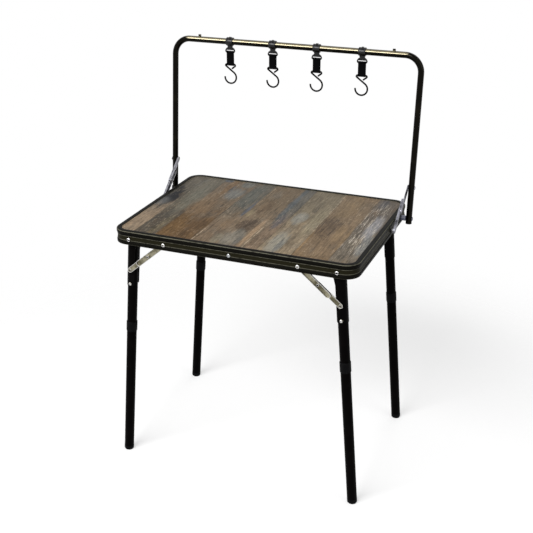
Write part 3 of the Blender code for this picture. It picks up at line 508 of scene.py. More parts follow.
def zinc_plate(name, dull, pale, stain):
    """Pressed steel with a passivated zinc in dull and pale patches, with painted highlights and painted
    shade where its points are marked.
    """
    made, place = material(name, pale, 0.34, 1.0)
    painted_light = place.node("Attribute", {"attribute_name": "painted_light"}, output="Fac")
    patches = noise(place, 60, 4, 0.55)
    marks = noise(place, 500, 3, 0.6, (1, 1, 0.25))
    colour = blended(rise(patches, 0.38, 0.62), dull, pale)
    colour = blended(rise(marks, 0.56, 0.76) * 0.5, colour, stain)
    # Painted highlight where the points are marked 1, and painted shade where they are marked -1
    bright = blended(patches, (190, 188, 180), (222, 222, 226))
    colour = blended(painted_light, colour, bright)
    colour = blended(rise(0 - painted_light, 0.1, 0.8), colour, (38, 36, 42))
    return feed(made, colour, marks, 0.00004, 0.24 + patches * 0.16 + marks * 0.08)


def brace_metal():
    """Bright galvanised steel with spangle and rolled lines."""
    made, place = material("Galvanised brace", (170, 172, 172), 0.4, 0.9)
    spangle = place.node("TexVoronoi", inputs={"Vector": place, "Scale": 160.0}, output="Color")
    shade = place.node("RGBToBW", inputs={0: spangle})
    colour = blended(shade, (148, 150, 150), (188, 190, 192))
    rolled = noise(place, 600, 2, 0.5, (1, 0.04, 1))
    return feed(made, colour, rolled, 0.00003, 0.3 + shade * 0.22)


def moulded_black(name, specular, roughness):
    """Moulded plastic with a fine even grain."""
    made, place = material(name, (7, 7, 8), roughness, 0, specular)
    grain = noise(place, 1100, 3, 0.6)
    handled = rise(noise(place, 90, 3, 0.6), 0.52, 0.75)
    colour = blended(handled, (5, 5, 6), (12, 12, 13))
    return feed(made, colour, grain, 0.00006, roughness + grain * 0.12)


def webbing_cloth():
    """Flat woven webbing: a fine weave of ribs and threads, with a little fuzz."""
    made, place = material("Black webbing", (10, 10, 11), 0.85, 0, 0.02)
    x, _, z = parts_of(place)
    weave = wave(z, 0.0013) * wave(x, 0.0011) * 0.5 + 0.5
    fuzz = noise(place, 900, 3, 0.7)
    colour = blended(weave, (3, 3, 4), (9, 9, 10))
    colour = blended(fuzz * 0.35, colour, (18, 18, 20))
    return feed(made, colour, weave * 0.7 + fuzz * 0.3, 0.00022)


def plank_print():
    """A printed board of old planks, side by side from left to right, under a satin film."""
    made, place = material("Plank print", (112, 100, 86), 0.5, 0, 0.06)
    x, y, z = parts_of(place)
    wander = noise(place, 12, 3, 0.6, (1, 0.6, 1)) - 0.5
    across = x + wander * 0.01
    mottle = noise(place, 40, 5, 0.62, (1, 0.4, 1), (3, 5, 0))
    streaks = noise(place, 130, 4, 0.62, (1.5, 0.08, 1))
    fine = noise(place, 430, 3, 0.65, (1.3, 0.07, 1), (3, 1, 0))
    speck = noise(place, 240, 4, 0.7, (1, 0.5, 1), (1, 8, 0))
    cloud = noise(place, 16, 4, 0.55, (1, 0.42, 1), (7, 2, 0))
    back = rise(y + (cloud - 0.5) * 0.12, -0.11, 0.09)
    # Each plank's right edge in millimetres, and its colour at the front and at the back
    planks = (
        (-247, (140, 125, 108), (96, 91, 82)), (-192, (84, 78, 70), (102, 98, 88)),
        (-101, (102, 82, 60), (110, 97, 82)), (-50, (119, 104, 88), (95, 92, 84)),
        (33, (120, 107, 92), (112, 98, 80)), (63, (126, 110, 94), (98, 96, 91)),
        (144, (139, 126, 107), (121, 112, 95)), (231, (126, 108, 87), (125, 108, 87)),
        (300, (116, 108, 97), (103, 95, 87)),
    )
    colour = blended(back, planks[0][1], planks[0][2])
    for (edge, _, _), (_, front_tone, back_tone) in zip(planks, planks[1:]):
        plank = blended(back, front_tone, back_tone)
        colour = blended(rise(across, edge * MM - 0.0016, edge * MM + 0.0016), colour, plank)
    cool = rise(noise(place, 26, 5, 0.6, (1, 0.45, 1), (11, 4, 0)), 0.52, 0.7)
    warm = rise(noise(place, 30, 5, 0.6, (1.2, 0.3, 1), (2, 9, 0)), 0.54, 0.72)
    colour = blended(cool * 0.3, colour, (104, 106, 104))
    colour = blended(warm * 0.32, colour, (138, 112, 82))
    # Each patch's centre and half sizes in millimetres, its colour and its strength
    patches = (
        (-278, 36, 26, 80, (38, 40, 44), 0.98), (-284, -4, 20, 30, (110, 112, 114), 0.55),
        (-217, 30, 16, 110, (116, 116, 106), 0.6), (-206, -150, 10, 70, (112, 104, 84), 0.5),
        (-226, -110, 18, 80, (68, 66, 62), 0.55), (-172, 0, 30, 60, (124, 104, 82), 0.6),
        (-162, 160, 9, 70, (124, 98, 70), 0.65), (-184, 205, 14, 16, (82, 96, 112), 0.7),
        (-150, 140, 5, 30, (62, 72, 84), 0.6), (-130, 110, 20, 40, (116, 120, 120), 0.8),
        (-122, 190, 18, 26, (108, 114, 114), 0.7), (-172, -150, 22, 80, (108, 84, 54), 0.55),
        (-128, -130, 18, 70, (86, 68, 50), 0.6), (-78, 120, 18, 80, (88, 94, 92), 0.6),
        (-52, 20, 5, 60, (86, 92, 104), 0.8), (-38, -4, 9, 26, (142, 130, 106), 0.75),
        (-18, 50, 14, 50, (100, 80, 60), 0.45), (-12, -80, 24, 46, (80, 68, 58), 0.85),
        (-16, -160, 24, 50, (136, 136, 130), 0.6), (2, -180, 6, 34, (98, 98, 98), 0.55),
        (-48, -180, 10, 30, (140, 136, 122), 0.6), (16, -110, 7, 100, (166, 142, 116), 0.75),
        (36, 100, 8, 130, (84, 92, 98), 0.75), (48, -30, 8, 50, (84, 86, 96), 0.6),
        (86, 10, 16, 40, (148, 148, 142), 0.8), (90, -150, 19, 66, (156, 157, 150), 0.65),
        (100, -170, 6, 40, (112, 116, 118), 0.6), (106, 72, 4, 24, (80, 74, 66), 0.7),
        (114, -120, 5, 60, (102, 92, 80), 0.65), (128, 10, 14, 100, (150, 142, 120), 0.6),
        (172, -20, 26, 60, (88, 74, 60), 0.8), (178, 130, 26, 80, (136, 116, 88), 0.6),
        (204, -50, 12, 50, (150, 128, 98), 0.55), (148, -130, 4, 60, (150, 122, 86), 0.5),
        (226, -70, 5, 70, (148, 124, 92), 0.5), (268, 10, 14, 80, (168, 170, 178), 0.75),
        (278, -100, 12, 60, (136, 140, 142), 0.7), (250, 170, 10, 40, (76, 80, 90), 0.6),
    )
    torn = (streaks - 0.5) * 2.0 + (mottle - 0.5) * 2.6 + (speck - 0.5) * 1.8
    for centre_x, centre_y, half_x, half_y, patch_colour, strength in patches:
        far_x = (x - centre_x * MM) * (1 / (half_x * MM))
        far_y = (y - centre_y * MM) * (1 / (half_y * MM))
        far = far_x * far_x + far_y * far_y + torn
        colour = blended((1 - rise(far, 0.25, 1.7)) * strength, colour, patch_colour)
    # Each dark seam's place in millimetres and its strength
    seams = ((-247, 0.4), (-192, 0.3), (-101, 0.8), (33, 0.3), (63, 0.8), (144, 0.3), (231, 0.4))
    for edge, strength in seams:
        gap = between(across, edge * MM - 0.0009, edge * MM + 0.0009, 0.0018) * strength
        colour = blended(gap * rise(cloud, 0.3, 0.6), colour, (58, 54, 50))
    # Each pale line's place, its two ends and half its width, in millimetres
    pale_lines = ((-45.5, 60, 220, 0.8), (26, -210, -40, 1.4), (142, -70, 200, 1.0), (232.5, 10, 170, 0.8),
                  (-98, -210, -120, 0.8))
    for line_x, low, high, width in pale_lines:
        pale = between(across, (line_x - width) * MM, (line_x + width) * MM, 0.0014)
        pale = pale * between(y, low * MM, high * MM, 0.04)
        colour = blended(pale * rise(speck, 0.36, 0.56) * 0.75, colour, (184, 168, 146))
    strip = between(x, 0.228, 0.28, 0.012)
    scraped = strip * between(y + (mottle - 0.5) * 0.1, -0.15, 0.16, 0.06)
    scraped = scraped * rise(fine * 0.6 + streaks * 0.4, 0.53, 0.6)
    colour = blended(scraped * 0.75, colour, (196, 190, 180))
    deep = strip * rise(1 - fine, 0.55, 0.64)
    colour = blended(deep * 0.45, colour, (66, 62, 58))
    pores = rise(1 - streaks * 0.5 - fine * 0.5, 0.52, 0.62) * rise(mottle, 0.38, 0.58)
    colour = blended(pores * 0.4, colour, (58, 50, 42))
    flecks = rise(speck * 0.5 + fine * 0.5, 0.54, 0.62) * rise(cloud, 0.42, 0.6)
    colour = blended(flecks * 0.26, colour, (190, 178, 158))
    shade = 1 + (mottle - 0.5) * 1.0 + (streaks - 0.5) * 1.3 + (fine - 0.5) * 1.3 + (speck - 0.5) * 1.3
    colour = colour.node("VectorMath", {"operation": "SCALE"}, {0: colour, "Scale": shade})
    colour = colour.node("VectorMath", {"operation": "MULTIPLY"}, {0: colour, 1: (0.79, 0.76, 0.71)})
    underside = rise(z, TOP - 0.0035, TOP - 0.002)
    colour = blended(underside, (60, 58, 56), colour)
    height = (streaks * 0.5 + fine * 0.5) * underside
    return feed(made, colour, height, 0.0001, 0.46 + streaks * 0.14)


FINISHES = {
    "rail": (anodised_rail(), "dark_rail"),
    "board": (plank_print(), "plank_print"),
    "brace": (brace_metal(), "grey_metal"),
    "leg": (enamel("Leg enamel", (5, 4, 4), (9, 7, 7), 0.4, 0.014), "black_metal"),
    "sleeve": (enamel("Black sleeve steel", (5, 4, 4), (10, 9, 9), 0.36, 0.018), "black_metal"),
    "rack": (rack_metal(), "rack_enamel"),
    "plastic": (moulded_black("Moulded black joints", 0.05, 0.46), "black_plastic"),
    "clip": (moulded_black("Moulded black clips", 0.3, 0.22), "black_plastic"),
    "zinc": (zinc_plate("Zinc plated steel", (94, 90, 72), (152, 147, 126), (46, 42, 30)),
             "zinc"),
    "blue_zinc": (zinc_plate("Blue zinc plated steel", (52, 52, 59), (146, 146, 154), (28, 28, 34)),
                  "zinc"),
    "spacer": (enamel("Blue grey spacer", (74, 77, 98), (104, 106, 120), 0.42, 0.5),
               "blue_grey_metal"),
    "webbing": (webbing_cloth(), "webbing"),
    "wire": (enamel("Coated hook wire", (4, 4, 4), (9, 9, 9), 0.34, 0.03), "hook_wire"),
}


# The table top

def bent_rail():
    """The extrusion's grooved section, carried round the table and closed on itself."""
    corners = [
        (RAIL_TOP_WIDTH, 0, 0.0005), (0, 0, 0.0032), (0, 0.0082, 0.0008),
        (0.0018, 0.0098, 0.0004), (0.0018, 0.0117, 0.0003), (0.0012, 0.0121, 0.0003),
        (0.0012, 0.0129, 0.0003), (0.0018, 0.0133, 0.0003), (0.0018, 0.0217, 0.0003),
        (0.0012, 0.0221, 0.0003), (0.0012, 0.0235, 0.0003), (0.0018, 0.0239, 0.0003),
        (0.0018, 0.0256, 0.0004), (0, 0.027, 0.0007), (0, 0.034, 0.0016),
        (RAIL_INNER, 0.034, 0.0006), (RAIL_INNER, 0.0077, 0.0006), (0.022, 0.0077, 0.0005),
        (0.022, 0.0065, 0.0005), (RAIL_TOP_WIDTH, 0.0065, 0),
    ]
    straight_x = HALF_WIDTH - RAIL_CORNER
    straight_y = HALF_DEPTH - RAIL_CORNER
    section = [(HALF_WIDTH - inset, -straight_y, TOP - drop) for inset, drop in rounded(corners, 3)]
    draw("bent_rail", section)
    bpy.ops.mesh.edge_face_add()
    bpy.ops.mesh.delete(type="ONLY_FACE")
    bpy.ops.mesh.select_all(action="SELECT")
    moves = [(2 * straight_y, RAIL_CORNER, QUARTER), (2 * straight_x, RAIL_CORNER, QUARTER)] * 2
    carry((HALF_WIDTH, -straight_y, 0), (0, 1, 0), (0, 0, 1), moves, math.radians(7.5))
    done(close_up(), "rail", "table", "rail_frame")


def rounded_box(half_x, half_y, radius, steps):
    corners = ((half_x, half_y), (-half_x, half_y), (-half_x, -half_y), (half_x, -half_y))
    return rounded([(x, y, radius) for x, y in corners], steps)


def plank_board():
    inset = RAIL_TOP_WIDTH + CLEARANCE
    outline = rounded_box(HALF_WIDTH - inset, HALF_DEPTH - inset, RAIL_CORNER - inset, 14)
    board = plate("plank_board", outline, TOP - 0.0062, TOP - 0.0012)
    done(softened(board, 0.0006), "board", "table", "top_board")


def rivet_head(seat, radius, height):
    """Corners of a domed head with a dimple, from its rim to the axis."""
    return [(radius, seat, 0.0001), (radius * 0.98, seat + height * 0.45, 0.0003),
            (radius * 0.7, seat + height, 0.0012), (radius * 0.46, seat + height, 0.0003),
            (radius * 0.4, seat + height * 0.3, 0.0002), (0, seat + height * 0.25, 0)]


def under_brace():
    """The pressed channel under the board, with a tab and a rivet at each end."""
    end = HALF_DEPTH - RAIL_INNER - CLEARANCE
    ledge = HALF_DEPTH - RAIL_TOP_WIDTH - 0.01 - CLEARANCE
    wall = 0.0014
    half = 0.014
    roof = -0.008
    foot = -0.028
    side = [(end, foot, 0), (end, roof, 0.0012), (ledge, roof, 0), (ledge - wall, -0.0065, 0)]
    outline = mirrored(side) + [(-end + wall, foot, 0), (-end + wall, -0.014, 0.001)]
    outline += [(end - wall, -0.014, 0.001), (end - wall, foot, 0)]
    bar = moved(plate("under_brace", rounded(outline, 4), -half, half), SIDEWAYS)
    trough = plate("trough", rounded_box(half - wall, end - wall, 0.001, 3), foot - 0.002, roof - wall)
    bar = softened(combined(bar, trough, "DIFFERENCE"), 0.0004)
    seat = HALF_DEPTH - RIVET_SEAT
    shank = [(0, end - 0.001, 0), (PIN_RADIUS, end - 0.001, 0), (PIN_RADIUS, seat, 0)]
    for turn in (0, math.pi):
        rivet = lathe("rivet", shank + rivet_head(seat, HEAD_RADIUS, HEAD_HEIGHT))
        bar = joined(bar, moved(rivet, Matrix.Rotation(turn, 4, "Z") @ shifted(z=-0.021) @ ALONG_Y))
    done(moved(bar, shifted(z=TOP)), "brace", "table", "centre_brace")


# Legs

def leg_tilt(side_x, side_y):
    return Matrix.Rotation(side_y * FLARE, 4, "X") @ Matrix.Rotation(-side_x * SPLAY, 4, "Y")


def sleeve():
    """Plate wrapped round the outer side of a right leg, with flanges that widen at its pivot."""
    outer = SLEEVE_HALF
    inner = outer - 0.001
    plan = arc((0, 0), outer, -QUARTER, QUARTER, 24) + [(-0.03, outer), (-0.03, inner)]
    plan += arc((0, 0), inner, QUARTER, -QUARTER, 24) + [(-0.03, -inner), (-0.03, -outer)]
    shell = plate("sleeve", plan, -SLEEVE_LENGTH - 0.01, outer)
    radius = 0.0128
    shoulder = -math.sqrt(outer ** 2 - radius ** 2)
    margin = outer + 0.001
    sides = [(-radius, 0, 0), (-0.0142, -0.012, 0.005), (-0.0098, -0.036, 0.012),
             (-0.0098, -SLEEVE_LENGTH + 0.003, 0.0015), (-0.0068, -SLEEVE_LENGTH, 0.0015),
             (margin, -SLEEVE_LENGTH, 0), (margin, shoulder, 0)]
    outline = arc((0, 0), radius, 0, math.pi, 28) + rounded(sides, 4)[1:]
    blank = moved(plate("blank", outline, -0.03, 0.03), UPRIGHT)
    return softened(combined(shell, blank, "INTERSECT"), 0.00025)


def leg_tube(name, low, high, outer_rim, inner_rim):
    bore = LEG_RADIUS - TUBE_WALL
    corners = [(bore, low, 0), (LEG_RADIUS, low, 0.0003), (LEG_RADIUS, high, outer_rim),
               (bore, high, inner_rim), (bore, low, 0)]
    return lathe(name, corners, 48)


def collar():
    """Moulded joint: a collar with two grooves between the tubes, and a spigot up and down."""
    top = -UPPER_LENGTH
    foot = top - COLLAR_LENGTH
    tip = top + 0.055
    tail = foot - 0.03
    bore = 0.0075
    corners = [(bore, tip, 0), (SPIGOT_RADIUS - 0.0013, tip, 0.0003), (SPIGOT_RADIUS, tip - 0.0013, 0.0008),
               (SPIGOT_RADIUS, top, 0), (0.0122, top, 0.0002), (COLLAR_RADIUS, top - 0.0012, 0.0006)]
    groove = COLLAR_RADIUS - 0.0004
    for edge in (top - 0.0042, top - 0.0208):
        corners += [(COLLAR_RADIUS, edge, 0.0002), (groove, edge - 0.0003, 0.0001),
                    (groove, edge - 0.0007, 0.0001), (COLLAR_RADIUS, edge - 0.001, 0.0002)]
    corners += [(COLLAR_RADIUS, foot + 0.0012, 0.0006), (0.0122, foot, 0.0002), (SPIGOT_RADIUS, foot, 0),
                (SPIGOT_RADIUS, tail, 0), (bore, tail, 0), (bore, tip, 0)]
    return lathe("collar", corners, 48)


def rubber_foot(side_x, side_y):
    """The foot's plug, cut level where the leaning leg stands on the floor."""
    foot = -LEG_LENGTH
    top = foot + FOOT_HEIGHT
    corners = [(0, foot - 0.004, 0), (0.01, foot - 0.004, 0), (0.01, foot, 0),
               (0.0122, foot + 0.003, 0.0024), (0.0122, top, 0.0005), (SPIGOT_RADIUS, top, 0),
               (SPIGOT_RADIUS, top + 0.02, 0.001), (0, top + 0.02, 0)]
    edit(lathe("rubber_foot", corners, 48))
    level = leg_tilt(side_x, side_y).inverted()
    bpy.ops.mesh.bisect(plane_co=level @ Vector((0, 0, -PIVOT_Z)), plane_no=level @ Vector((0, 0, -1)),
                        clear_outer=True, use_fill=True)
    return close_up()


def slotted_screw():
    """A low domed screw head with a slot across it."""
    corners = [(0, -0.0055, 0), (0.002, -0.0055, 0.0004), (0.002, 0, 0), (0.004, 0, 0.0001),
               (0.0039, 0.0008, 0.0003), (0.0024, 0.0018, 0.0014), (0, 0.0018, 0)]
    head = lathe("sleeve_screw", corners)
    slot = [(-0.006, -0.0005), (0.006, -0.0005), (0.006, 0.0005), (-0.006, 0.0005)]
    head = combined(head, plate("slot", slot, 0.0009, 0.004), "DIFFERENCE")
    # Painted highlight on the dome's top, painted shade in the slot
    return painted_light(softened(head, 0.00012, 1), lambda spot: spot.z > 0.0011,
                  lambda spot: 0.0006 < spot.z < 0.0011 and abs(spot.y) < 0.0009)


def pivot_rivet():
    """The rivet that a leg turns on, with a shoulder between its sleeve and the rail."""
    outer = HALF_DEPTH - RIVET_SEAT
    spacer_end = HALF_DEPTH - RAIL_INNER - CLEARANCE
    spacer_start = LEG_Y + SLEEVE_HALF + CLEARANCE
    inner = LEG_Y - SLEEVE_HALF - CLEARANCE
    corners = [(0, inner - HEAD_HEIGHT, 0), (0.003, inner - HEAD_HEIGHT, 0.0006),
               (HEAD_RADIUS, inner - HEAD_HEIGHT * 0.5, 0.0006), (HEAD_RADIUS, inner, 0.0001),
               (0.003, inner, 0), (0.003, spacer_start, 0), (0.005, spacer_start, 0.0004),
               (0.005, spacer_end, 0.0004), (0.003, spacer_end, 0), (0.003, outer, 0)]
    rivet = lathe("pivot_rivet", corners + rivet_head(outer, HEAD_RADIUS, HEAD_HEIGHT))

    # Painted highlight on the dome, painted shade in its dimple and in a dark stripe across the head
    def painted_shade_spot(spot):
        return spot.z > outer and (abs(spot.y) < 0.0011 or math.hypot(spot.x, spot.y) < 0.0021)

    return painted_light(rivet, lambda spot: spot.z > outer + HEAD_HEIGHT * 0.35, painted_shade_spot)


def pressed_link(name, length, half, depth, pins):
    """A strip with round ends and a turned-up rim, with its pins joined to it."""
    outline = arc((length, 0), half, -QUARTER, QUARTER, 18)
    outline += arc((0, 0), half, QUARTER, math.pi * 1.5, 18)
    edit(plate(name, outline, 0, depth))
    pick_faces(lambda face: face.normal.z > 0.9)
    bpy.ops.mesh.inset(thickness=LINK_WALL)
    pull((0, 0, LINK_WALL - depth))
    # Painted highlight along the top of the rim
    tray = painted_light(softened(close_up(), 0.0004, 3), lambda spot: spot.z > depth - 0.0002)
    for x, corners in pins:
        heads = [z for radius, z, _ in corners if radius > 0.003]
        low, high = min(heads), max(heads)
        # Painted highlight on the pins' ends and heads, painted shade in the middle of their heads
        pin = painted_light(lathe("pin", corners), lambda spot: spot.z < low + 0.0004 or spot.z > high - 0.0012,
                     lambda spot: spot.z > high - 0.001 and math.hypot(spot.x, spot.y) < 0.0022)
        tray = joined(tray, moved(pin, shifted(x)))
    return tray


def knuckle_pin(depth):
    middle = LINK_WALL / 2
    return [(0, middle, 0), (BUTTON_RADIUS, middle, 0), (BUTTON_RADIUS, depth - 0.0003, 0.0006),
            (0.0014, depth, 0.0004), (0.001, depth - 0.0006, 0.0002), (0, depth - 0.0006, 0)]


def link_pin(reach, head):
    """The arm link's pin, through what is behind it, with a head on the far side if asked."""
    corners = [(0, LINK_DEPTH - 0.0006, 0), (0.0012, LINK_DEPTH - 0.0006, 0.0002),
               (0.0016, LINK_DEPTH, 0.0004), (BUTTON_RADIUS, LINK_DEPTH - 0.0002, 0.0006),
               (BUTTON_RADIUS, LINK_WALL / 2, 0), (PIN_RADIUS, LINK_WALL / 2, 0), (PIN_RADIUS, -reach, 0)]
    if head:
        far = rivet_head(0, HEAD_RADIUS, head)
        return corners + [(radius, -reach - height, rounding) for radius, height, rounding in far]
    return corners + [(0, -reach, 0)]


def channel_pin(spacer):
    """The channel link's pin, through its spacer and the rail to a head outside."""
    top = CHANNEL_DEPTH + spacer
    seat = top + RAIL_INNER + CLEARANCE - RIVET_SEAT
    corners = [(0, LINK_WALL / 2, 0), (HEAD_RADIUS, LINK_WALL / 2, 0), (HEAD_RADIUS, top, 0.0003),
               (PIN_RADIUS, top, 0), (PIN_RADIUS, seat, 0)]
    return corners + rivet_head(seat, HEAD_RADIUS, HEAD_HEIGHT)


def stay_links(lean, reach, tail, spacer, through, head):
    """A stay's two links: straight when open, and doubled back along the rail when folded."""
    total = math.sqrt(reach ** 2 + ANCHOR_REACH ** 2 + 2 * reach * ANCHOR_REACH * math.sin(lean))
    channel = (total - (ANCHOR_REACH - reach)) / 2
    arm = total - channel
    wide = pressed_link("stay_channel", channel + tail, CHANNEL_HALF, CHANNEL_DEPTH,
                        [(0, channel_pin(spacer)), (channel, knuckle_pin(CHANNEL_DEPTH))])
    thin = pressed_link("stay_link", arm, LINK_HALF, LINK_DEPTH,
                        [(0, link_pin(through, head)), (arm, knuckle_pin(LINK_DEPTH))])
    return wide, thin


def towards(origin, target, normal):
    """A matrix at the origin whose X points at the target and whose Z is the normal."""
    along = (Vector(target) - Vector(origin)).normalized()
    outward = Vector(normal)
    turn = Matrix((along, outward.cross(along), outward)).transposed().to_4x4()
    return Matrix.Translation(origin) @ turn


def legs():
    wide, thin = stay_links(SPLAY, PIN_REACH, CHANNEL_TAIL, 0, 0.006, 0)
    masters = {
        "leg_sleeve": sleeve(),
        "upper_tube": leg_tube("upper_tube", -UPPER_LENGTH + CLEARANCE, 0.005, 0.0005, 0.0004),
        "tube_collar": collar(),
        "lower_tube": leg_tube("lower_tube", -LEG_LENGTH + FOOT_HEIGHT + CLEARANCE,
                               -UPPER_LENGTH - COLLAR_LENGTH - CLEARANCE, 0.0003, 0),
        "sleeve_screw": slotted_screw(),
        "pivot_rivet": pivot_rivet(),
        "leg_stay_channel": wide,
        "leg_stay_link": thin,
    }
    for side_y, depth_name in ((-1, "front"), (1, "back")):
        for side_x, width_name in ((-1, "left"), (1, "right")):
            where = depth_name + "_" + width_name
            rest = shifted(side_x * PIVOT_X, side_y * LEG_Y, PIVOT_Z) @ leg_tilt(side_x, side_y)
            outward = ALONG_Y if side_y > 0 else ALONG_Y.inverted()
            flip = MIRROR_X if side_x < 0 else Matrix()
            slot_turn = Matrix.Rotation(math.radians(35 + 40 * side_x * side_y), 4, "Z")
            screw = rest @ shifted(z=-SCREW_DROP) @ outward @ shifted(z=SLEEVE_HALF + CLEARANCE) @ slot_turn
            leg = "leg_" + where
            lower = "lower_leg_" + where
            pin = leg_tilt(side_x, side_y) @ Vector((0, 0, -PIN_REACH))
            pin_x = side_x * PIVOT_X + pin.x
            pin_z = PIVOT_Z + pin.z
            anchor_x = side_x * (PIVOT_X - ANCHOR_REACH)
            channel_y = side_y * (HALF_DEPTH - RAIL_INNER - CLEARANCE - CHANNEL_DEPTH)
            arm_y = side_y * (HALF_DEPTH - ARM_INSET)
            normal = (0, side_y, 0)
            stay = towards((anchor_x, channel_y, PIVOT_Z), (pin_x, channel_y, pin_z), normal)
            link = towards((pin_x, arm_y, pin_z), (anchor_x, arm_y, PIVOT_Z), normal)
            pivot = shifted(side_x * PIVOT_X, 0, PIVOT_Z) @ outward
            places = (
                ("leg_sleeve", rest @ flip, "sleeve", leg, "leg_bracket_"),
                ("upper_tube", rest, "leg", leg, "upper_leg_tube_"),
                ("sleeve_screw", screw, "zinc", leg, "leg_screw_"),
                ("tube_collar", rest, "plastic", lower, "leg_coupler_"),
                ("lower_tube", rest, "leg", lower, "lower_leg_tube_"),
                ("pivot_rivet", pivot, "zinc", "table", "leg_pivot_rivet_"),
                ("leg_stay_channel", stay, "zinc", "leg_channel_" + where, "stay_channel_"),
                ("leg_stay_link", link, "zinc", "leg_link_" + where, "stay_link_"),
            )
            for name, matrix, finish, body, node in places:
                placed(masters[name], name + "_" + where, matrix, finish, body, node + where)
            foot = named(moved(rubber_foot(side_x, side_y), rest), "rubber_foot_" + where)
            done(foot, "plastic", lower, "foot_cap_" + where)
    cleared(masters.values())


# The rack and its stays

def bent_rack():
    """The tube, bent twice, with a stop peg near each end of its bar."""
    bend_z = RACK_REACH - RACK_BEND
    bend_x = RACK_X - RACK_BEND
    moves = [(bend_z + RACK_TAIL, RACK_BEND, QUARTER), (2 * bend_x, RACK_BEND, QUARTER),
             (bend_z + RACK_TAIL, 0, 0)]
    tube = bent_bar("bent_rack", RACK_RADIUS, 32, (-RACK_X, 0, -RACK_TAIL), (0, 0, 1), moves,
                    math.radians(6))
    crown = RACK_REACH + RACK_RADIUS
    for x in (-PEG_X, PEG_X):
        peg = rod("peg", 0.0037, crown - 0.0015, crown + 0.005, 0.001)
        tube = joined(tube, moved(peg, shifted(x)))
    return tube


def rack_plug():
    flange = -RACK_TAIL - CLEARANCE
    corners = [(0, flange - 0.0018, 0), (RACK_RADIUS, flange - 0.0018, 0.0008), (RACK_RADIUS, flange, 0),
               (0.006, flange, 0), (0.006, flange + 0.006, 0.0006), (0, flange + 0.006, 0)]
    return lathe("rack_plug", corners, 32)


def rack_bolt():
    """Bolt through the tube and the rail, with its sleeve between them and a nut inside."""
    outer = RACK_X + RACK_RADIUS + CLEARANCE
    sleeve_top = RACK_X - RACK_RADIUS - CLEARANCE
    sleeve_foot = HALF_WIDTH - RIVET_SEAT
    nut_top = HALF_WIDTH - RAIL_INNER - CLEARANCE
    shank = 0.0027
    corners = [(0, nut_top - 0.0035, 0), (0.005, nut_top - 0.0035, 0.0005), (0.005, nut_top, 0.0003),
               (shank, nut_top, 0), (shank, sleeve_foot, 0), (0.0065, sleeve_foot, 0.0005),
               (0.0065, sleeve_top, 0.0005), (shank, sleeve_top, 0), (shank, outer, 0)]
    return lathe("rack_bolt", corners + rivet_head(outer, 0.0052, 0.0012))


def rack():
    rest = shifted(0, RACK_Y, RACK_Z) @ Matrix.Rotation(-RACK_LEAN, 4, "X")
    done(moved(bent_rack(), rest), "rack", "rack", "rack_tube")
    plug = rack_plug()
    bolt = rack_bolt()
    arm_side = RACK_X - RACK_RADIUS - CLEARANCE
    channel_side = arm_side - LINK_DEPTH - CLEARANCE
    spacer = channel_side - CHANNEL_DEPTH - HALF_WIDTH + RIVET_SEAT
    wide, thin = stay_links(RACK_LEAN, RACK_PIN_REACH, RACK_CHANNEL_TAIL, spacer,
                            2 * (RACK_RADIUS + CLEARANCE), HEAD_HEIGHT)
    pin_y = RACK_Y + RACK_PIN_REACH * math.sin(RACK_LEAN)
    pin_z = RACK_Z + RACK_PIN_REACH * math.cos(RACK_LEAN)
    anchor_y = RACK_Y - ANCHOR_REACH
    for side, where in ((-1, "left"), (1, "right")):
        outward = ALONG_X if side > 0 else ALONG_X.inverted()
        normal = (-side, 0, 0)
        placed(plug, "rack_plug_" + where, rest @ shifted(side * RACK_X), "plastic", "rack",
               "rack_end_plug_" + where)
        placed(bolt, "rack_bolt_" + where, shifted(0, RACK_Y, RACK_Z) @ outward, "spacer", "table",
               "rack_pivot_bolt_" + where)
        spot = towards((side * channel_side, anchor_y, RACK_Z), (side * channel_side, pin_y, pin_z), normal)
        placed(wide, "rack_channel_piece_" + where, spot, "blue_zinc", "rack_channel_" + where,
               "rack_stay_channel_" + where)
        spot = towards((side * arm_side, pin_y, pin_z), (side * arm_side, anchor_y, RACK_Z), normal)
        placed(thin, "rack_link_piece_" + where, spot, "blue_zinc", "rack_link_" + where,
               "rack_stay_link_" + where)
    cleared((plug, bolt, wide, thin))


# Hangers

def sector(name, inner, outer, start, end, left, right, steps):
    """Part of a ring round the bar, from one angle to another above the back, in degrees."""
    start, end = math.radians(start), math.radians(end)
    outline = arc((0, 0), outer, start, end, steps) + arc((0, 0), inner, end, start, steps)
    return moved(plate(name, outline, left, right), SIDEWAYS)


def hanger_clip():
    """A ring that snaps over the bar from the front, with grip ribs, a neck and a buckle."""
    half = 0.0088
    bore = RACK_RADIUS + CLEARANCE
    clip = softened(sector("hanger_clip", bore, bore + 0.002, 25, 335, -half, half, 40), 0.0004)
    ribs = ((-0.0024, 0.0024, 0.004), (-0.0085, -0.0052, 0.0026), (0.0052, 0.0085, 0.0026))
    for left, right, height in ribs:
        rib = sector("rib", bore + 0.001, bore + height, 40, 140, left, right, 14)
        clip = combined(clip, softened(rib, 0.0007, 3), "UNION")
    notch = STRAP_HALF + 0.0006
    bar_radius = 0.0016
    heel = BUCKLE_BAR_DROP + bar_radius
    side = [(half - 0.0006, -0.0088, 0), (0.0064, -0.0125, 0.0015), (0.0064, -0.0137, 0.0008),
            (0.0107, -0.0169, 0.0014), (0.0131, -0.0215, 0.0018), (0.0131, -0.0243, 0.0018),
            (0.0113, -heel, 0.0009), (notch, -heel, 0.0003), (notch, -0.0208, 0.001)]
    buckle = moved(plate("buckle", rounded(mirrored(side), 4), -0.0017, 0.0017), UPRIGHT)
    clip = combined(clip, softened(buckle, 0.0006, 3), "UNION")
    bar = rod("bar", bar_radius, -notch - 0.001, notch + 0.001)
    return combined(clip, moved(bar, shifted(z=-BUCKLE_BAR_DROP) @ ALONG_X), "UNION")


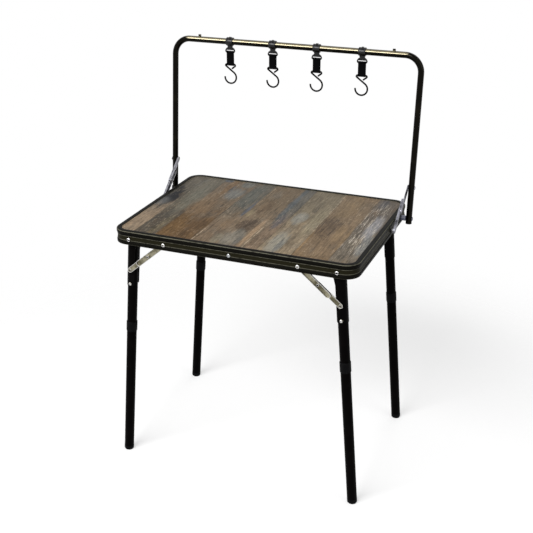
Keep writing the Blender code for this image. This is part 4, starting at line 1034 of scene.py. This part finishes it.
def hanger_strap():
    """Webbing folded round the buckle's bar and the hook and sewn flat between them."""
    eyes = ((BUCKLE_BAR_DROP, 0.0019, QUARTER), (HOOK_BAR_DROP, 0.0024, 3 * QUARTER))
    outline = []
    for drop, eye, middle in eyes:
        radius = eye + PLY
        reach = math.pi - math.asin(0.0014 / radius)
        outline += arc((0, -drop), radius, middle - reach, middle + reach, 24)
    strap = softened(moved(plate("hanger_strap", outline, -STRAP_HALF, STRAP_HALF), SIDEWAYS), 0.0003, 2, 50)
    for drop, eye, _ in eyes:
        hole = rod("hole", eye, -0.02, 0.02)
        strap = combined(strap, moved(hole, shifted(z=-drop) @ ALONG_X), "DIFFERENCE")
    return strap


def hanger_hook():
    """Round wire, bent from the tip round the hook and back to a loop in the strap."""
    centre = Vector((0, -0.0894))
    radius = 0.0154
    tip = math.radians(176)
    # The loop's left side and top, then the place where the wire leaves the round for the loop
    left = Vector((-0.0137, -HOOK_BAR_DROP - 0.0036))
    top_left = Vector((-0.0119, -HOOK_BAR_DROP))
    reach = left - centre
    leave = math.atan2(reach.y, reach.x) - math.acos(radius / reach.length)
    tangent = centre + radius * Vector((math.cos(leave), math.sin(leave)))
    bend = 0.0022
    steep = math.atan2(top_left.y - left.y, top_left.x - left.x)
    up_left = leave + QUARTER
    shoulder = up_left - steep
    trims = (bend * math.tan(shoulder / 2), bend * math.tan(steep / 2))
    side = (top_left - left).length - trims[0] - trims[1]
    crossing = left.lerp(tangent, left.x / (left.x - tangent.x))
    gap = (2 * WIRE_RADIUS + CLEARANCE) / math.sin(math.pi - 2 * leave)
    last = (left - crossing).length - abs(gap) - trims[0]
    # Turns about +Y run the other way round from angles in the XZ plane.
    moves = [
        (0, radius, -(math.tau + leave - tip)),
        ((left - tangent).length - trims[0], bend, shoulder),
        (side, bend, steep),
        (-2 * top_left.x - 2 * trims[1], bend, steep),
        (side, bend, shoulder),
        (last, 0, 0),
    ]
    start = centre + radius * Vector((math.cos(tip), math.sin(tip)))
    heading = tip + QUARTER
    hook = bent_bar("hanger_hook", WIRE_RADIUS, 20, (start.x, 0, start.y),
                    (math.cos(heading), 0, math.sin(heading)), moves, math.radians(9))
    return softened(hook, 0.0005, 2, 60)


def hangers():
    kinds = ((hanger_clip(), "bar_clip_", "clip", "clip_", "hanger_clip_"),
             (hanger_strap(), "strap_loop_", "webbing", "strap_", "hanger_strap_"),
             (hanger_hook(), "wire_hook_", "wire", "hook_", "hanger_hook_"))
    for index, x in enumerate(HANGER_X):
        number = str(index + 1)
        for master, name, finish, body, node in kinds:
            placed(master, name + number, shifted(x, BAR_Y, BAR_Z), finish, body + number, node + number)
    cleared(kind[0] for kind in kinds)


# Studio

def background_seen(line):
    """1 for the rays that show the background: camera, glossy and transmission rays."""
    camera, glossy, through = (line.node("LightPath", output=name)
                               for name in ("Is Camera Ray", "Is Glossy Ray", "Is Transmission Ray"))
    return line.maths("MAXIMUM", camera, line.maths("MAXIMUM", glossy, through))


def studio():
    """A white floor and surround, soft lamps and the camera at the photograph's angle."""
    let_go()
    bpy.ops.mesh.primitive_plane_add(size=24.0, location=(0, 0, 0))
    floor = bpy.context.active_object
    floor.name = "studio_floor"
    made = bpy.data.materials.new("White floor")
    made.use_nodes = True
    tree = made.node_tree
    tree.nodes.remove(tree.nodes["Principled BSDF"])
    paint = Line(tree)
    # Half grey, with a glow for the rays that show the background: white there, with its shadow
    white = paint.node("BsdfDiffuse", inputs={"Color": (0.5, 0.5, 0.5, 1.0)})
    glow = paint.node("Emission", inputs={"Color": (1.0, 1.0, 1.0, 1.0), "Strength": 0.52})
    both = paint.node("AddShader", inputs={0: white, 1: glow})
    top = paint.node("MixShader", inputs={0: background_seen(paint), 1: white, 2: both})
    # Clear from below, and clear far out, where the white surround shows
    clear = paint.node("BsdfTransparent")
    spot = paint.node("TexCoord", output="Object")
    far = spot.node("VectorMath", {"operation": "LENGTH"}, {0: spot}, output="Value")
    under = paint.node("NewGeometry", output="Backfacing")
    gone = under.maths("MAXIMUM", under, rise(far, 0.65, 1.4))
    surface = paint.node("MixShader", inputs={0: gone, 1: top, 2: clear})
    tree.links.new(surface.socket, tree.nodes["Material Output"].inputs["Surface"])
    floor.data.materials.append(made)

    world = bpy.data.worlds.new("Studio")
    world.use_nodes = True
    bpy.context.scene.world = world
    air = Line(world.node_tree)
    background = world.node_tree.nodes["Background"]
    background.inputs["Color"].default_value = (1.0, 1.0, 1.0, 1.0)
    strength = 0.42 + background_seen(air) * 0.58
    world.node_tree.links.new(strength.socket, background.inputs["Strength"])

    lamps = (("Key", (-0.9, -2.6, 2.75), (2.4, 1.2), 124.0),
             ("Side", (2.6, -0.8, 2.0), (1.4, 1.4), 14.0),
             ("Back", (0.3, 2.6, 2.6), (1.8, 1.8), 14.0))
    for name, spot, size, power in lamps:
        bpy.ops.object.light_add(type="AREA", location=spot)
        lamp = bpy.context.active_object
        lamp.name = name + "_lamp"
        lamp.data.shape = "RECTANGLE"
        lamp.data.size, lamp.data.size_y = size
        lamp.data.energy = power
        aim = Vector((0, 0, 0.55)) - Vector(spot)
        lamp.rotation_euler = aim.to_track_quat("-Z", "Y").to_euler()

    bpy.ops.object.camera_add()
    camera = bpy.context.active_object
    camera.name = "photo_camera"
    camera.data.lens = 65.12
    camera.data.sensor_width = 36.0
    camera.data.clip_start = 0.05
    camera.data.clip_end = 60.0
    heading, down, roll = 0.38524, 0.41957, -0.0037
    turn = Matrix.Rotation(heading, 4, "Z") @ Matrix.Rotation(QUARTER - down, 4, "X")
    camera.matrix_world = shifted(0.82529, -2.02699, 1.46214) @ turn @ Matrix.Rotation(roll, 4, "Z")
    bpy.context.scene.camera = camera
    bpy.context.scene.view_settings.view_transform = "Standard"


bent_rail()
plank_board()
under_brace()
legs()
rack()
hangers()
studio()
